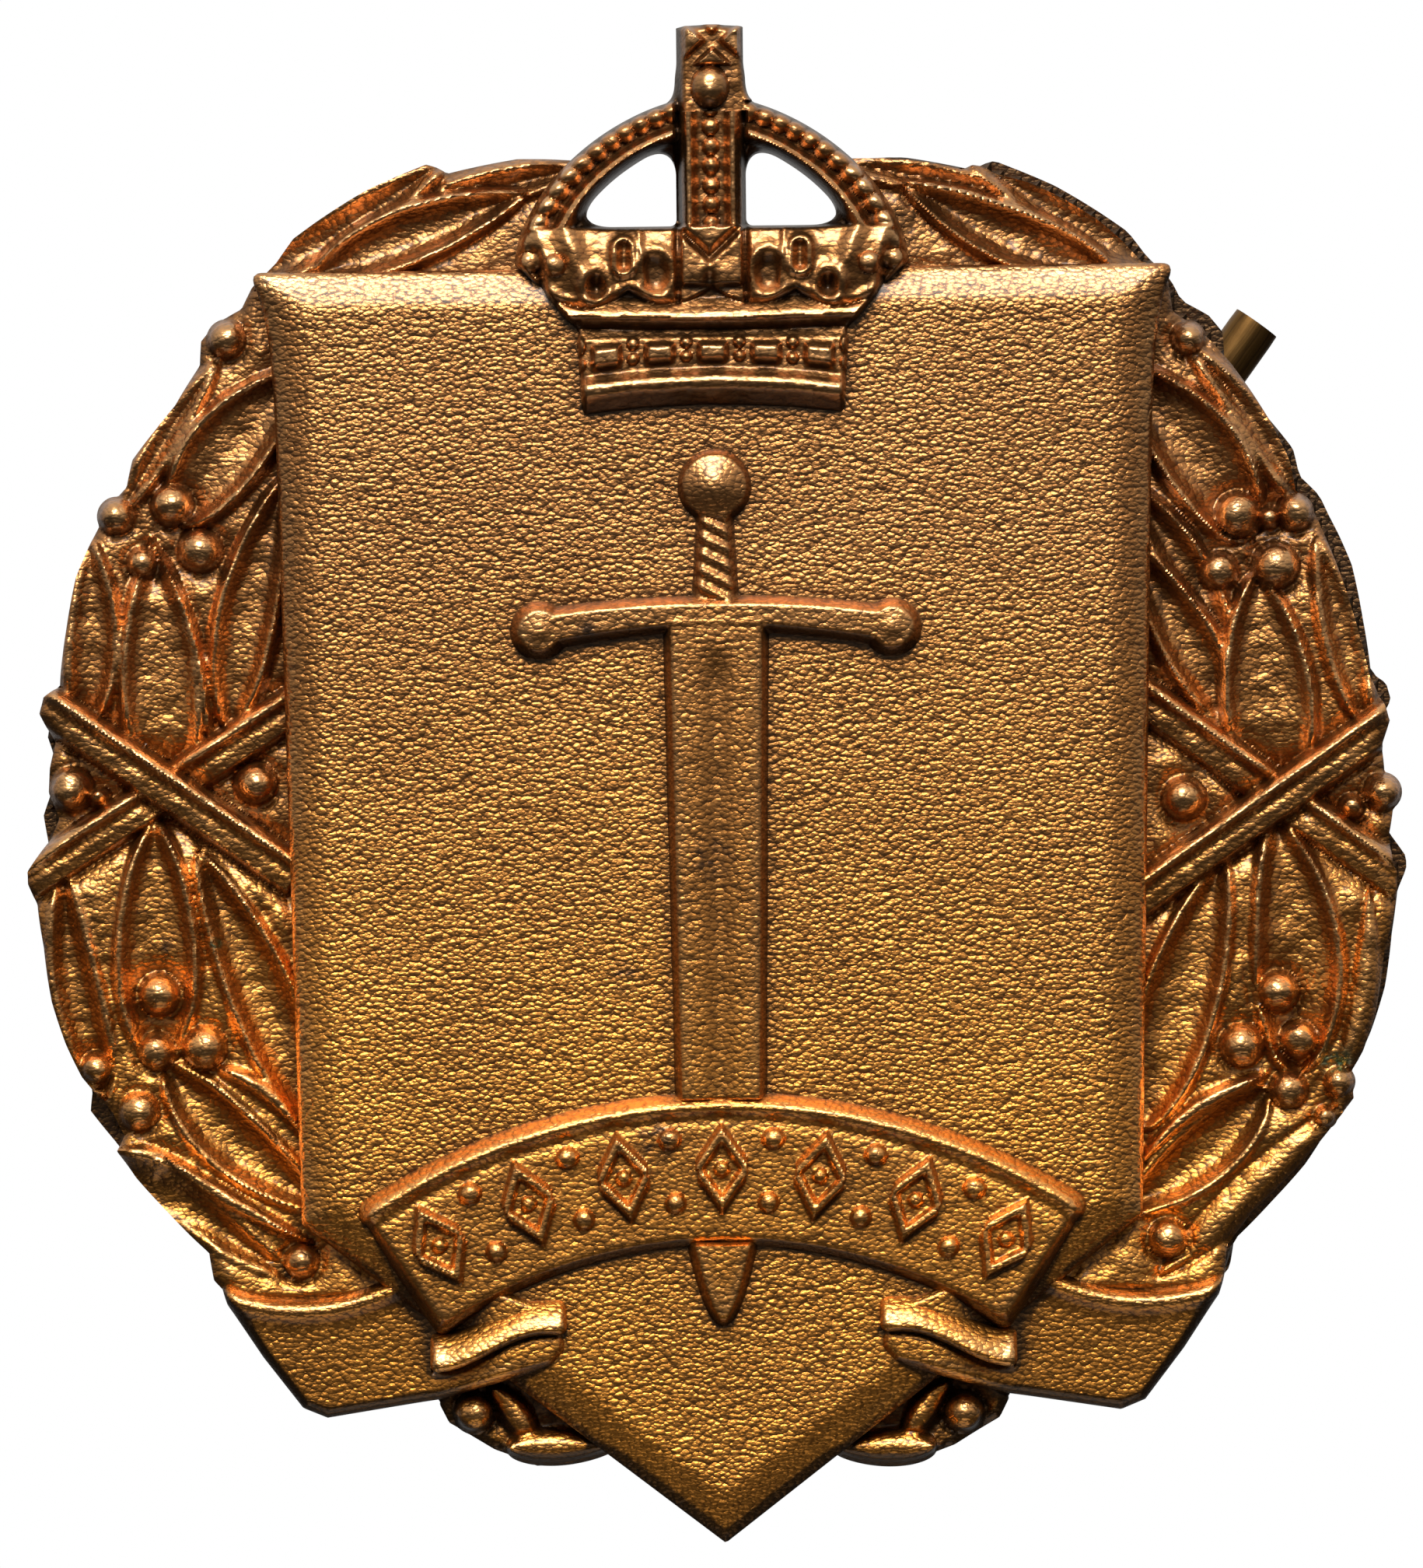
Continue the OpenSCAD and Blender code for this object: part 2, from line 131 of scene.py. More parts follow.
# Metal and glass see the white sheet where it is, behind the badge
rays = add(tree, "ShaderNodeLightPath")
mirror = maths(tree, "MAXIMUM", rays.outputs["Is Glossy Ray"], rays.outputs["Is Transmission Ray"])
behind = add(
    tree, "ShaderNodeMapRange",
    [("Value", way.outputs["Y"]), ("From Min", 0.8), ("From Max", 1.0), ("To Max", 0.3)],
)
sheet = maths(tree, "MULTIPLY", mirror, behind.outputs[0])
seen = maths(tree, "MAXIMUM", rays.outputs["Is Camera Ray"], sheet)
shown = add(tree, "ShaderNodeMixShader", [(0, seen), (1, room.outputs[0]), (2, white.outputs[0])])
add(tree, "ShaderNodeOutputWorld", [("Surface", shown.outputs[0])])
bpy.context.scene.view_settings.view_transform = "Standard"


# Struck relief
# The whole badge is one piece of bronze struck between two dies, so every part of its face is a
# height in front of the flat back rim. u runs right and v up from the badge's middle, in mm.

def smooth(t):
    """Soft step from 0 to 1: 3 t^2 - 2 t^3 with t held between 0 and 1."""
    t = np.clip(t, 0, 1)
    return t * t * (3 - 2 * t)


def join(a, b, k=0.12):
    """The larger of a and b, with the crease between them filled over k mm."""
    h = np.clip(0.5 + 0.5 * (a - b) / k, 0, 1)
    return b + (a - b) * h + k * h * (1 - h)


def hill(t, w):
    """Bell of height 1 round t = 0: exp(-(t / w)^2)."""
    return np.exp(-((t / w) ** 2))


def ruffle(u, v, size, seed):
    """Value noise from -1 to 1: a hash of the sine at the corners of size mm squares, blended softly."""
    x, y = u / size, v / size
    i, j = np.floor(x), np.floor(y)
    fx, fy = smooth(x - i), smooth(y - j)

    def corner(a, b):
        """Scattered value from 0 to 1 at one corner."""
        return np.modf(np.abs(np.sin(a * 127.1 + b * 311.7 + seed * 74.7)) * 43758.5)[0]

    lower = corner(i, j) * (1 - fx) + corner(i + 1, j) * fx
    upper = corner(i, j + 1) * (1 - fx) + corner(i + 1, j + 1) * fx
    return 2 * (lower * (1 - fy) + upper * fy) - 1


def grid_solid(name, box, step, inside, height):
    """A closed solid over the part of a square grid where inside(u, v) is positive.

    Grid points within half a step of the outline slide onto it: p - inside * gradient / |gradient|^2.
    The front lies at y = -height(u, v), the back at y = 0, and walls join them along the outline.
    """
    u, v = np.meshgrid(np.arange(box[0], box[1] + step, step), np.arange(box[2], box[3] + step, step))
    shape = u.shape
    u, v = u.ravel(), v.ravel()
    d = inside(u, v)
    close = np.abs(d) < 2 * step
    e = 0.2 * step
    for turn in range(3):
        pu, pv = u[close], v[close]
        dp = inside(pu, pv)
        gu = (inside(pu + e, pv) - inside(pu - e, pv)) / (2 * e)
        gv = (inside(pu, pv + e) - inside(pu, pv - e)) / (2 * e)
        g2 = gu * gu + gv * gv + 1e-4
        if turn == 0:
            moves = np.abs(dp) < 0.52 * step * np.sqrt(g2)
        u[close] = pu - np.where(moves, dp * gu / g2, 0)
        v[close] = pv - np.where(moves, dp * gv / g2, 0)
    keep = d > 0
    keep[close] = (inside(u[close], v[close]) > 0) | moves
    ids = np.arange(u.size).reshape(shape)
    a, b, c, f = (k.ravel() for k in (ids[:-1, :-1], ids[:-1, 1:], ids[1:, 1:], ids[1:, :-1]))
    ka, kb, kc, kf = keep[a], keep[b], keep[c], keep[f]
    tris = np.concatenate([
        np.stack([a, b, c], 1)[ka & kb & kc],
        np.stack([a, c, f], 1)[ka & kc & kf],
        np.stack([a, b, f], 1)[ka & kb & kf & ~kc],
        np.stack([b, c, f], 1)[kb & kc & kf & ~ka],
    ])
    p = np.stack([u, v], 1)[tris]
    side, other = p[:, 1] - p[:, 0], p[:, 2] - p[:, 0]
    tris = tris[side[:, 0] * other[:, 1] - side[:, 1] * other[:, 0] > 0.02 * step * step]
    used, tris = np.unique(tris, return_inverse=True)
    tris = tris.reshape(-1, 3)
    u, v, n = u[used], v[used], used.size
    h = height(u, v)
    edges = np.concatenate([tris[:, [0, 1]], tris[:, [1, 2]], tris[:, [2, 0]]])
    rim = edges[~np.isin(edges[:, 0] * n + edges[:, 1], edges[:, 1] * n + edges[:, 0])]
    i, j = rim[:, 0], rim[:, 1]
    walls = np.concatenate([np.stack([j, i, i + n], 1), np.stack([j, i + n, j + n], 1)])
    faces = np.concatenate([tris, tris[:, ::-1] + n, walls])
    front = np.stack([u, -h, v + MIDDLE], 1)
    mesh = bpy.data.meshes.new(name)
    mesh.from_pydata(np.concatenate([front, front * [1, 0, 1]]) / 1000, [], faces)
    mesh.polygons.foreach_set("use_smooth", np.ones(len(faces), bool))
    mesh.set_sharp_from_angle(angle=np.radians(50))
    piece = bpy.data.objects.new(name, mesh)
    bpy.context.scene.collection.objects.link(piece)
    return piece


# The toning drawn from these maps is painted shade and painted highlight.
relief = []  # every struck part: its solid, box, outline and height, for the hollow back and the toning


def strike(name, box, step, inside, height):
    """Makes one part of the relief and keeps its formulas."""
    piece = grid_solid(name, box, step, inside, height)
    relief.append((piece, box, inside, height))
    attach(piece, "badge")
    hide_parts("badge_body")
    return piece


# Shield
# The plain field of the badge, a cushion with broadly rounded sides and a straight-sided point. It is
# struck with the rest, and a groove runs down each side where the wreath dips behind it.

SHIELD_TOP = 16.8
SHIELD_CORNER = (13.8, -14.6)
SHIELD_T = 2.85
SHIELD_ROUND = 1.35


def shield_inside(u, v):
    """Least distance to the sides, which flare near the top, to the top edge and to the two slants."""
    x = np.abs(u)
    half = SHIELD_CORNER[0] + 0.05 + 0.022 * (v - SHIELD_CORNER[1])
    half = half + 0.75 * np.exp(np.minimum(v - SHIELD_TOP, 1) / 1.4)
    run = np.array([SHIELD_CORNER[0], TIP + SHIELD_CORNER[1]])
    slant = ((v - SHIELD_CORNER[1]) * run[0] - (x - run[0]) * run[1]) / np.hypot(*run)
    return np.minimum(-join(x - half, v - SHIELD_TOP, 0.5), slant)


def shield_height(u, v):
    """Rounded off towards the edge: T - 0.5 (1 - d / round)^1.5, where d is the distance inside."""
    d = shield_inside(u, v)
    t = np.clip(1 - d / SHIELD_ROUND, 0, 1)
    h = SHIELD_T - 0.5 * t**1.5 - 0.1 * np.clip(1 - d / 0.1, 0, 1) ** 2 + 0.006 * np.clip(d, 0, 10)
    return h + 0.015 * ruffle(u, v, 2.6, 3) * smooth(d - 0.5)


strike("shield", (-15.5, 15.5, -25.3, 16.9), 0.13, shield_inside, shield_height)


# Sword
# A plain straight sword, point down, raised on the shield. Its blade passes behind the scroll and its
# point shows again below it.

GUARD_V, GUARD_HALF, BLADE_HALF, SWORD_TIP, POMMEL_V = 5.4, 5.8, 1.7, -18.0, 9.6


def sword_parts(u, v):
    """Distances inside the blade, the guard with its knobs, the grip, the pommel and the knobs."""
    x = np.abs(u)
    taper = BLADE_HALF - 0.35 * (GUARD_V - v) / (GUARD_V - SWORD_TIP)
    point = np.sqrt(np.clip((v - SWORD_TIP) / 4.2, 0, 1))
    blade = np.minimum(taper * point - x, np.minimum(v - SWORD_TIP, GUARD_V - v))
    droop = v - GUARD_V + 0.5 * (x / GUARD_HALF) ** 2
    bar = np.minimum(0.55 + 0.12 * x / GUARD_HALF - np.abs(droop), GUARD_HALF - x)
    knob = 0.9 - np.hypot(x - GUARD_HALF, v - GUARD_V + 0.5)
    grip = np.minimum(0.68 + 0.08 * np.cos((v - GUARD_V) * 0.9) - x, np.minimum(v - GUARD_V, POMMEL_V - v))
    pommel = 1.15 - np.hypot(u, v - POMMEL_V)
    return blade, np.maximum(bar, knob), grip, pommel, knob


def sword_inside(u, v):
    """Inside any of the parts, with a margin for the fillet along their foot."""
    return np.max(sword_parts(u, v)[:4], axis=0) + 0.22


def sword_height(u, v):
    """Each part swells from a soft foot; the blade has a fuller and the grip a spiral winding."""
    blade, guard, grip, pommel, knob = sword_parts(u, v)

    def rise(d, w):
        """0 at the foot, 0.16 mm outside the part, to 1 at w mm inside it."""
        return smooth((d + 0.16) / (w + 0.16))

    fuller = 0.2 * hill(u, 0.42) * smooth((v + 14) / 2) * smooth((4.6 - v) / 1.5)
    shown = smooth((v + 10.8) / 0.3) + smooth((-15.1 - v) / 0.3)  # the scroll covers the rest
    wind = 0.07 * np.cos((v * 2 + u) * 2 * np.pi / 1.1) * smooth(grip / 0.2)
    forms = [
        (0.72 * rise(blade, 0.26) - fuller * (blade > 0)) * shown,
        0.72 * rise(guard, 0.3),
        0.45 * rise(knob, 0.15) + 0.35 * rise(knob, 0.9),
        0.5 * rise(grip, 0.3) + wind,
        0.45 * rise(pommel, 0.15) + 0.4 * rise(pommel, 1.1),
    ]
    h = forms[0]
    for form in forms[1:]:
        h = join(form, h, 0.1)
    return SHIELD_T - 0.06 + h + 0.01 * ruffle(u, v, 0.9, 6)


strike("sword", (-7.1, 7.1, -18.4, 11.1), 0.07, sword_inside, sword_height)


# Crown
# Stands over the shield's top edge: a jewelled circlet, a row of leaves round a notched plate, two
# pearled arches and an upright that carries the orb and a cross. The metal under the arches is pierced.

ARCH_U, ARCH_V, ARCH_TOP, ARCH_BEND = 6.5, 5.5, 22.5, 1.7
CROWN_TOP = 24.78
UPRIGHT = 1.15
CROWN_BASE = 3.15
CROWN_WORN = 3.86  # the highest forms are worn off softly at this height
CIRCLET_V, JEWEL_PITCH = 12.78, 1.75


def arch_level(x, v):
    """1 on the arches' outer edge, 0 at their centre: ((x/a)^1.7 + (y/b)^1.7)^(1/1.7)."""
    y = np.clip(v - ARCH_TOP + ARCH_V, 0, None)
    return ((x / ARCH_U) ** ARCH_BEND + (y / ARCH_V) ** ARCH_BEND) ** (1 / ARCH_BEND)


def circlet_line(x):
    """Height of the circlet's lower edge, which bows up in the middle."""
    return CIRCLET_V - 0.3 * (x / 4.4) ** 2


def crown_inside(u, v):
    """Inside the body below and the arches and upright above, and outside the two pierced holes."""
    x = np.abs(u)
    half = np.interp(v, [12.5, 14.7, 15.3, 16.3, 17.0], [4.35, 4.5, 4.95, 5.8, 6.5])
    body = np.minimum(half - x, v - circlet_line(x) + 0.65)
    post = UPRIGHT + 0.45 * np.exp(-np.clip(v - 22.15, 0, 9) / 0.22) - 0.05 * smooth((v - 23.0) / 0.6)
    upright = np.minimum(post - x, CROWN_TOP - 0.05 * x * x - v)
    arch = np.maximum((1 - arch_level(x, v)) * 5.6, upright)
    hole = join(join(UPRIGHT - x, 18.18 - v, 0.25), (arch_level(x, v) - 0.757) * 5.6, 1.1)
    return np.minimum(np.where(v < 17.0, body, arch), hole)


def cross_arms(dx, dy, reach, gap=0.22):
    """Four arms that widen outwards: raised where |dx| and |dy| differ, within reach of the middle."""
    arms = smooth((np.abs(np.abs(dx) - np.abs(dy)) - gap * reach + 0.1) / 0.3)
    return arms * smooth((reach - np.maximum(np.abs(dx), np.abs(dy))) / 0.2)


def pearls(along, across, pitch, r):
    """A row of worn half spheres of radius r, pitch apart along the row, as heights."""
    gap = along - pitch * np.round(along / pitch)
    return np.sqrt(np.clip(r * r - 0.8 * gap * gap - across * across, 0, None))


def arches_height(x, v):
    """Pearls along the outer side, a channel, and a thin rim along the piercing."""
    q = arch_level(x, v)
    h = np.interp(
        q, [0.74, 0.76, 0.795, 0.82, 0.85, 0.88, 0.95, 0.985, 1.0],
        [2.7, 3.15, 3.45, 3.35, 2.88, 2.72, 2.74, 2.66, 2.5],
    )
    turn = np.arctan2(v - ARCH_TOP + ARCH_V, x) * 6.0
    return h + 1.05 * pearls(turn, (q - 0.93) * 5.8, 0.66, 0.35)


def upright_height(u, v):
    """Two rails with a row of pearls between them, the orb and the cross."""
    x = np.abs(u)
    post = 3.05 + 0.42 * hill(x - 0.72, 0.2) + 1.05 * pearls(v - 0.3, x, 0.64, 0.28)
    post = post - 0.9 * smooth((-u - 0.84) / 0.3) - 0.5 * smooth((u - 0.95) / 0.2)
    head = 2.85 - 0.6 * smooth((-u - 0.8) / 0.3)
    orb = np.sqrt(np.clip(0.62**2 - u**2 - ((v - 22.72) * 0.85) ** 2, 0, None))
    post = np.where(v > 21.95, join(head + 0.2 + 1.15 * orb * (orb > 0), head, 0.1), post)
    cross = head + 0.1 + 0.5 * cross_arms(u - 0.08, (v - 24.25) * 1.1, 1.0)
    return np.where(v > 23.45, join(cross, post, 0.2), post)


def scallop_line(x):
    """The scalloped rim on which the leaves stand."""
    return 16.15 - 0.5 * np.abs(np.sin(np.pi * x / 2.75)) - 0.04 * x


def leaves_height(u, v):
    """A notched plate in the middle, and keyhole leaves, curls and a ball to each side."""
    x = np.abs(u)
    rim = 0.15 * hill(v - scallop_line(x) - 0.18, 0.2)
    leaf = CROWN_BASE + 0.3 - 0.3 * np.abs((v - 16.9) / 1.3) ** 2.5 + rim
    drop = np.hypot(x - 2.9, np.clip(np.abs(v - 17.15) - 0.28, 0, None))
    leaf = leaf + 0.26 * hill(drop - 0.3, 0.16) - 0.06 * hill(drop, 0.18)
    leaf = leaf + 0.14 * hill(x - 2.3 - 0.1 * (v - 17), 0.12) * smooth((v - 16.1) / 0.3)
    leaf = leaf + 0.22 * hill(x - 4.35 - 0.32 * (v - 16.7), 0.36)
    for cx, cy, r, deep in ((1.86, 16.6, 0.52, 0.2), (3.83, 16.15, 0.36, 0.32)):
        far = np.hypot(x - cx, (v - cy) * 0.75)
        leaf = leaf + 0.14 * hill(far - r - 0.1, 0.16) - deep * smooth((r - far) / 0.36)
    leaf = leaf + 0.9 * np.sqrt(np.clip(0.37**2 - (x - 5.17) ** 2 - (v - 16.89) ** 2, 0, None))
    plate = CROWN_BASE + 0.5 - 0.3 * hill((v - 17.12 - 0.95 * np.abs(u + 0.08)) / 1.4, 0.14)
    plate = plate - 0.3 * hill(np.hypot(u + 0.08, (v - 16.35) * 0.8), 0.2)
    leaf = leaf - 0.25 * hill(x - 1.12, 0.1)
    return leaf + (plate - 0.35 * smooth((16.3 - v) / 0.2) - leaf) * smooth((1.06 - x) / 0.14)


def circlet_height(x, v):
    """A rounded upper rim, a groove, a row of jewels and pairs of pearls, and a broad lower rim."""
    w = v - circlet_line(x) + CIRCLET_V - 0.02 * x * x * smooth((v - 13.5) / 1.5)
    band = np.interp(
        w,
        [12.13, 12.22, 12.72, 12.82, 12.92, 13.05, 13.2, 13.35, 13.5,
         14.45, 14.6, 14.75, 14.9, 15.02, 15.15, 15.3, 15.8],
        [2.8, 2.88, 3.54, 3.64, 3.69, 3.71, 3.64, 3.42, 3.28,
         3.26, 3.08, 2.98, 3.16, 3.46, 3.56, 3.5, 3.08],
    )
    k = (x + JEWEL_PITCH / 2) % JEWEL_PITCH - JEWEL_PITCH / 2
    jewel = 0.42 * smooth((0.56 - np.abs(k)) / 0.24) * smooth((0.42 - np.abs(w - 14.02)) / 0.3)
    k = x % JEWEL_PITCH - JEWEL_PITCH / 2
    pair = 1.1 * np.sqrt(np.clip(0.2**2 - k**2 - (np.abs(w - 14.1) - 0.23) ** 2, 0, None))
    return band + np.where((w > 13.5) & (w < 14.7), np.maximum(jewel, pair), 0)


def crown_height(u, v):
    """Arches, upright, leaves and circlet laid over one another, rounded off along the outline."""
    x = np.abs(u)
    h = arches_height(x, v)
    on_post = smooth((UPRIGHT + 0.1 - x) / 0.2)
    h = np.where(v > 18.1, h + (upright_height(u, v) - h) * np.where(v > 22.3, 1.0, on_post), h)
    low_zone = smooth((18.2 - v) / 0.12) * smooth((5.6 - x + 0.3 * (v - 16)) / 0.5)
    h = h + (leaves_height(u, v) - h) * low_zone
    h = h + (circlet_height(x, v) - h) * smooth((scallop_line(x) - v + 0.06) / 0.14)
    side = np.clip(1 - crown_inside(u, v) / 0.22, 0, 1)
    worn = -join(-h, np.full(np.shape(h), -CROWN_WORN), 0.15)
    return worn - 0.45 * side**2 + 0.03 * ruffle(u, v, 0.45, 9) + 0.015 * ruffle(u, v, 0.2, 4)


strike("crown", (-6.7, 6.7, 11.7, 24.9), 0.05, crown_inside, crown_height)


# Scroll
# A curved band with a sunken field, over the foot of the shield and the sword. The field carries a
# plain row of lozenges and pellets. Its ends fold back and run out as two tails.

SCROLL_R, SCROLL_W, SCROLL_HALF = 21.7, 5.1, np.radians(34)
SCROLL_CENTRE = -32.0
SCROLL_FIELD = 3.34
ORNAMENT_PITCH = 1.62


def scroll_polar(u, v):
    """Radius from the scroll's centre and angle from the upright."""
    return np.hypot(u, v - SCROLL_CENTRE), np.arctan2(u, v - SCROLL_CENTRE)


def scroll_inside(u, v):
    """Inside the ring between its two radii and its two ends, with softened corners."""
    r, angle = scroll_polar(u, v)
    end = (SCROLL_HALF - np.abs(angle)) * r
    return -join(-np.minimum(r - SCROLL_R + SCROLL_W, SCROLL_R - r), -end, 0.5) + 0.1


def scroll_height(u, v):
    """A bevelled edge, a ridge along its upper side and the raised ornaments on its field."""
    r, angle = scroll_polar(u, v)
    d = scroll_inside(u, v)
    h = np.interp(d, [0, 0.15, 0.38, 0.5], [2.6, 2.98, 3.3, SCROLL_FIELD])
    h = h + 0.16 * hill(SCROLL_R - 0.52 - r, 0.2) - 0.05 * hill(SCROLL_R - 0.95 - r, 0.2)
    pitch = ORNAMENT_PITCH / (SCROLL_R - SCROLL_W / 2)
    count = np.round(angle / pitch)
    x = (angle - count * pitch) * (SCROLL_R - SCROLL_W / 2)
    y = r - SCROLL_R + SCROLL_W / 2
    lozenge = 1 - np.abs(x) / 1.05 - np.abs(y) / 1.5
    rim = 0.42 * smooth((lozenge + 0.08) / 0.24) - 0.3 * smooth((lozenge - 0.3) / 0.2)
    bead = np.sqrt(np.clip(0.26**2 - x * x - y * y, 0, None))
    pellet = 0.95 * np.sqrt(np.clip(0.36**2 - x * x - (np.abs(y) - 1.05) ** 2, 0, None))
    ornament = np.where(count % 2 == 0, rim + 0.9 * bead, pellet)
    return h + np.where(np.abs(count) <= 6, ornament, 0) + 0.012 * ruffle(u, v, 0.5, 8)


strike("scroll", (-12.5, 12.5, -18.7, -10.2), 0.07, scroll_inside, scroll_height)


def convex_inside(u, v, points):
    """Least distance to the sides of a convex outline whose points run anticlockwise."""
    d = np.full(np.shape(u), 99.0)
    for (x0, y0), (x1, y1) in zip(points, points[1:] + points[:1]):
        d = np.minimum(d, ((x1 - x0) * (v - y0) - (y1 - y0) * (u - x0)) / np.hypot(x1 - x0, y1 - y0))
    return d


TAIL = [
    (16.85, -15.6), (10.5, -15.4), (5.2, -17.5), (5.15, -18.8), (5.6, -19.3), (9.4, -20.4),
    (13.1, -20.98), (13.9, -20.65), (15.2, -18.95), (16.35, -17.2),
]


def tail_inside(u, v):
    """The tail's outline, the same on both sides."""
    return convex_inside(np.abs(u), v, TAIL)


def fold_line(x):
    """Middle of the fold, which drops outwards in a soft S."""
    return -17.6 - 1.2 * smooth((x - 5.9) / 3.6)


def tail_height(u, v):
    """A flat end of the band: its curved upper lip is bright, and it climbs onto the shield."""
    x = np.abs(u)
    lip = v + 17.3 - 0.075 * (x - 13.9) ** 2
    face = 1.95 + 0.07 * (v + 18.5) * smooth((x - 9) / 2) + 1.2 * smooth((10.2 - x) / 3.2)
    h = face + 0.3 * hill(lip + 0.16, 0.34) - 0.75 * smooth((lip - 0.02) / 0.5) * (x > 9)
    edge = np.clip(1 - tail_inside(u, v) / 0.35, 0, 1)
    return h - 0.5 * edge**2 - 0.12 * hill(v - fold_line(x) + 0.62, 0.15) * (x < 9.6)


def fold_inside(u, v):
    """Inside a bar 1.3 mm high that follows the fold's line, with softened ends."""
    x = np.abs(u)
    t = v - fold_line(x)
    return -join(-(0.6 - np.abs(t)), -np.minimum(x - 5.2, 9.6 - x), 0.3) + 0.05


def fold_height(u, v):
    """The band turned under: it leans back towards its upper edge."""
    x = np.abs(u)
    t = v - fold_line(x)
    edge = np.clip(1 - fold_inside(u, v) / 0.22, 0, 1)
    return SCROLL_FIELD - 0.34 * t / 0.5 - 0.5 * t * t - 0.25 * edge**2 - 0.15 * smooth((x - 8) / 1.5)


for side, name in ((-1, "left"), (1, "right")):
    reach = sorted((side * 5.0, side * 9.8))
    strike("fold_" + name, (*reach, -19.5, -16.9), 0.06, fold_inside, fold_height)
    reach = sorted((side * 5.0, side * 17.1))
    strike("tail_" + name, (*reach, -21.1, -15.3), 0.08, tail_inside, tail_height)


# Wreath
# Laurel and berries on each side of the shield, bound by two crossed ribbons. All of it is struck in
# the ground of the badge, whose edge follows the leaves. The two sides differ as hand-cut dies do.

WREATH_V, GROUND_T = -1.0, 1.55

# The edge of the ground from the crown down to the tail
WREATH_EDGE = {
    "left": [
        (-4.2, 20.4), (-6.4, 20.5), (-7.8, 20.25), (-8.7, 20.05), (-9.05, 20.25), (-9.4, 20.35),
        (-9.9, 20.15), (-11.4, 19.5), (-12.8, 18.65), (-13.8, 17.95), (-14.4, 17.15), (-15.2, 16.35),
        (-15.55, 15.65), (-16.45, 15.15), (-16.9, 14.6), (-16.95, 13.8), (-17.75, 12.5), (-18.45, 11.65),
        (-19.2, 10.7), (-19.4, 9.8), (-20.05, 9.15), (-20.35, 8.5), (-20.7, 7.8), (-21.1, 6.85),
        (-21.45, 5.05), (-21.7, 3.25), (-22.2, 2.9), (-22.35, 2.35), (-21.85, 1.4), (-22.05, 0.55),
        (-22.1, -0.25), (-21.75, -1.1), (-22.05, -1.8), (-22.8, -2.85), (-22.8, -3.25), (-22.5, -3.95),
        (-22.3, -5.35), (-22.05, -7.15), (-21.6, -8.55), (-21.1, -9.65), (-20.1, -10.8), (-19.7, -11.6),
        (-19.95, -12.1), (-19.35, -13.0), (-18.25, -14.2), (-16.95, -15.5), (-16.8, -16.4),
    ],
    "right": [
        (4.6, 20.4), (6.2, 20.35), (7.4, 20.2), (8.3, 20.0), (8.65, 20.15), (8.95, 20.1), (9.4, 19.85),
        (10.6, 19.5), (11.7, 18.95), (12.8, 18.25), (13.5, 17.65), (14.2, 16.9), (14.9, 16.7),
        (15.05, 16.3), (15.15, 15.65), (15.2, 15.25), (15.55, 15.0), (15.95, 14.8), (16.5, 14.2),
        (17.15, 13.45), (17.6, 12.8), (18.35, 11.6), (19.0, 10.25), (19.2, 9.2), (19.75, 8.7), (20.3, 7.4),
        (20.95, 5.5), (21.55, 3.15), (22.0, 2.25), (22.2, 1.65), (21.95, 0.9), (22.05, -0.15),
        (22.35, -1.0), (22.15, -2.15), (22.25, -3.1), (22.4, -3.35), (22.35, -4.45), (21.95, -5.95),
        (21.65, -7.95), (21.2, -9.25), (20.8, -9.95), (20.9, -10.8), (20.15, -11.75), (18.85, -13.2),
        (17.5, -14.5), (16.65, -15.6), (16.5, -16.8),
    ],
}

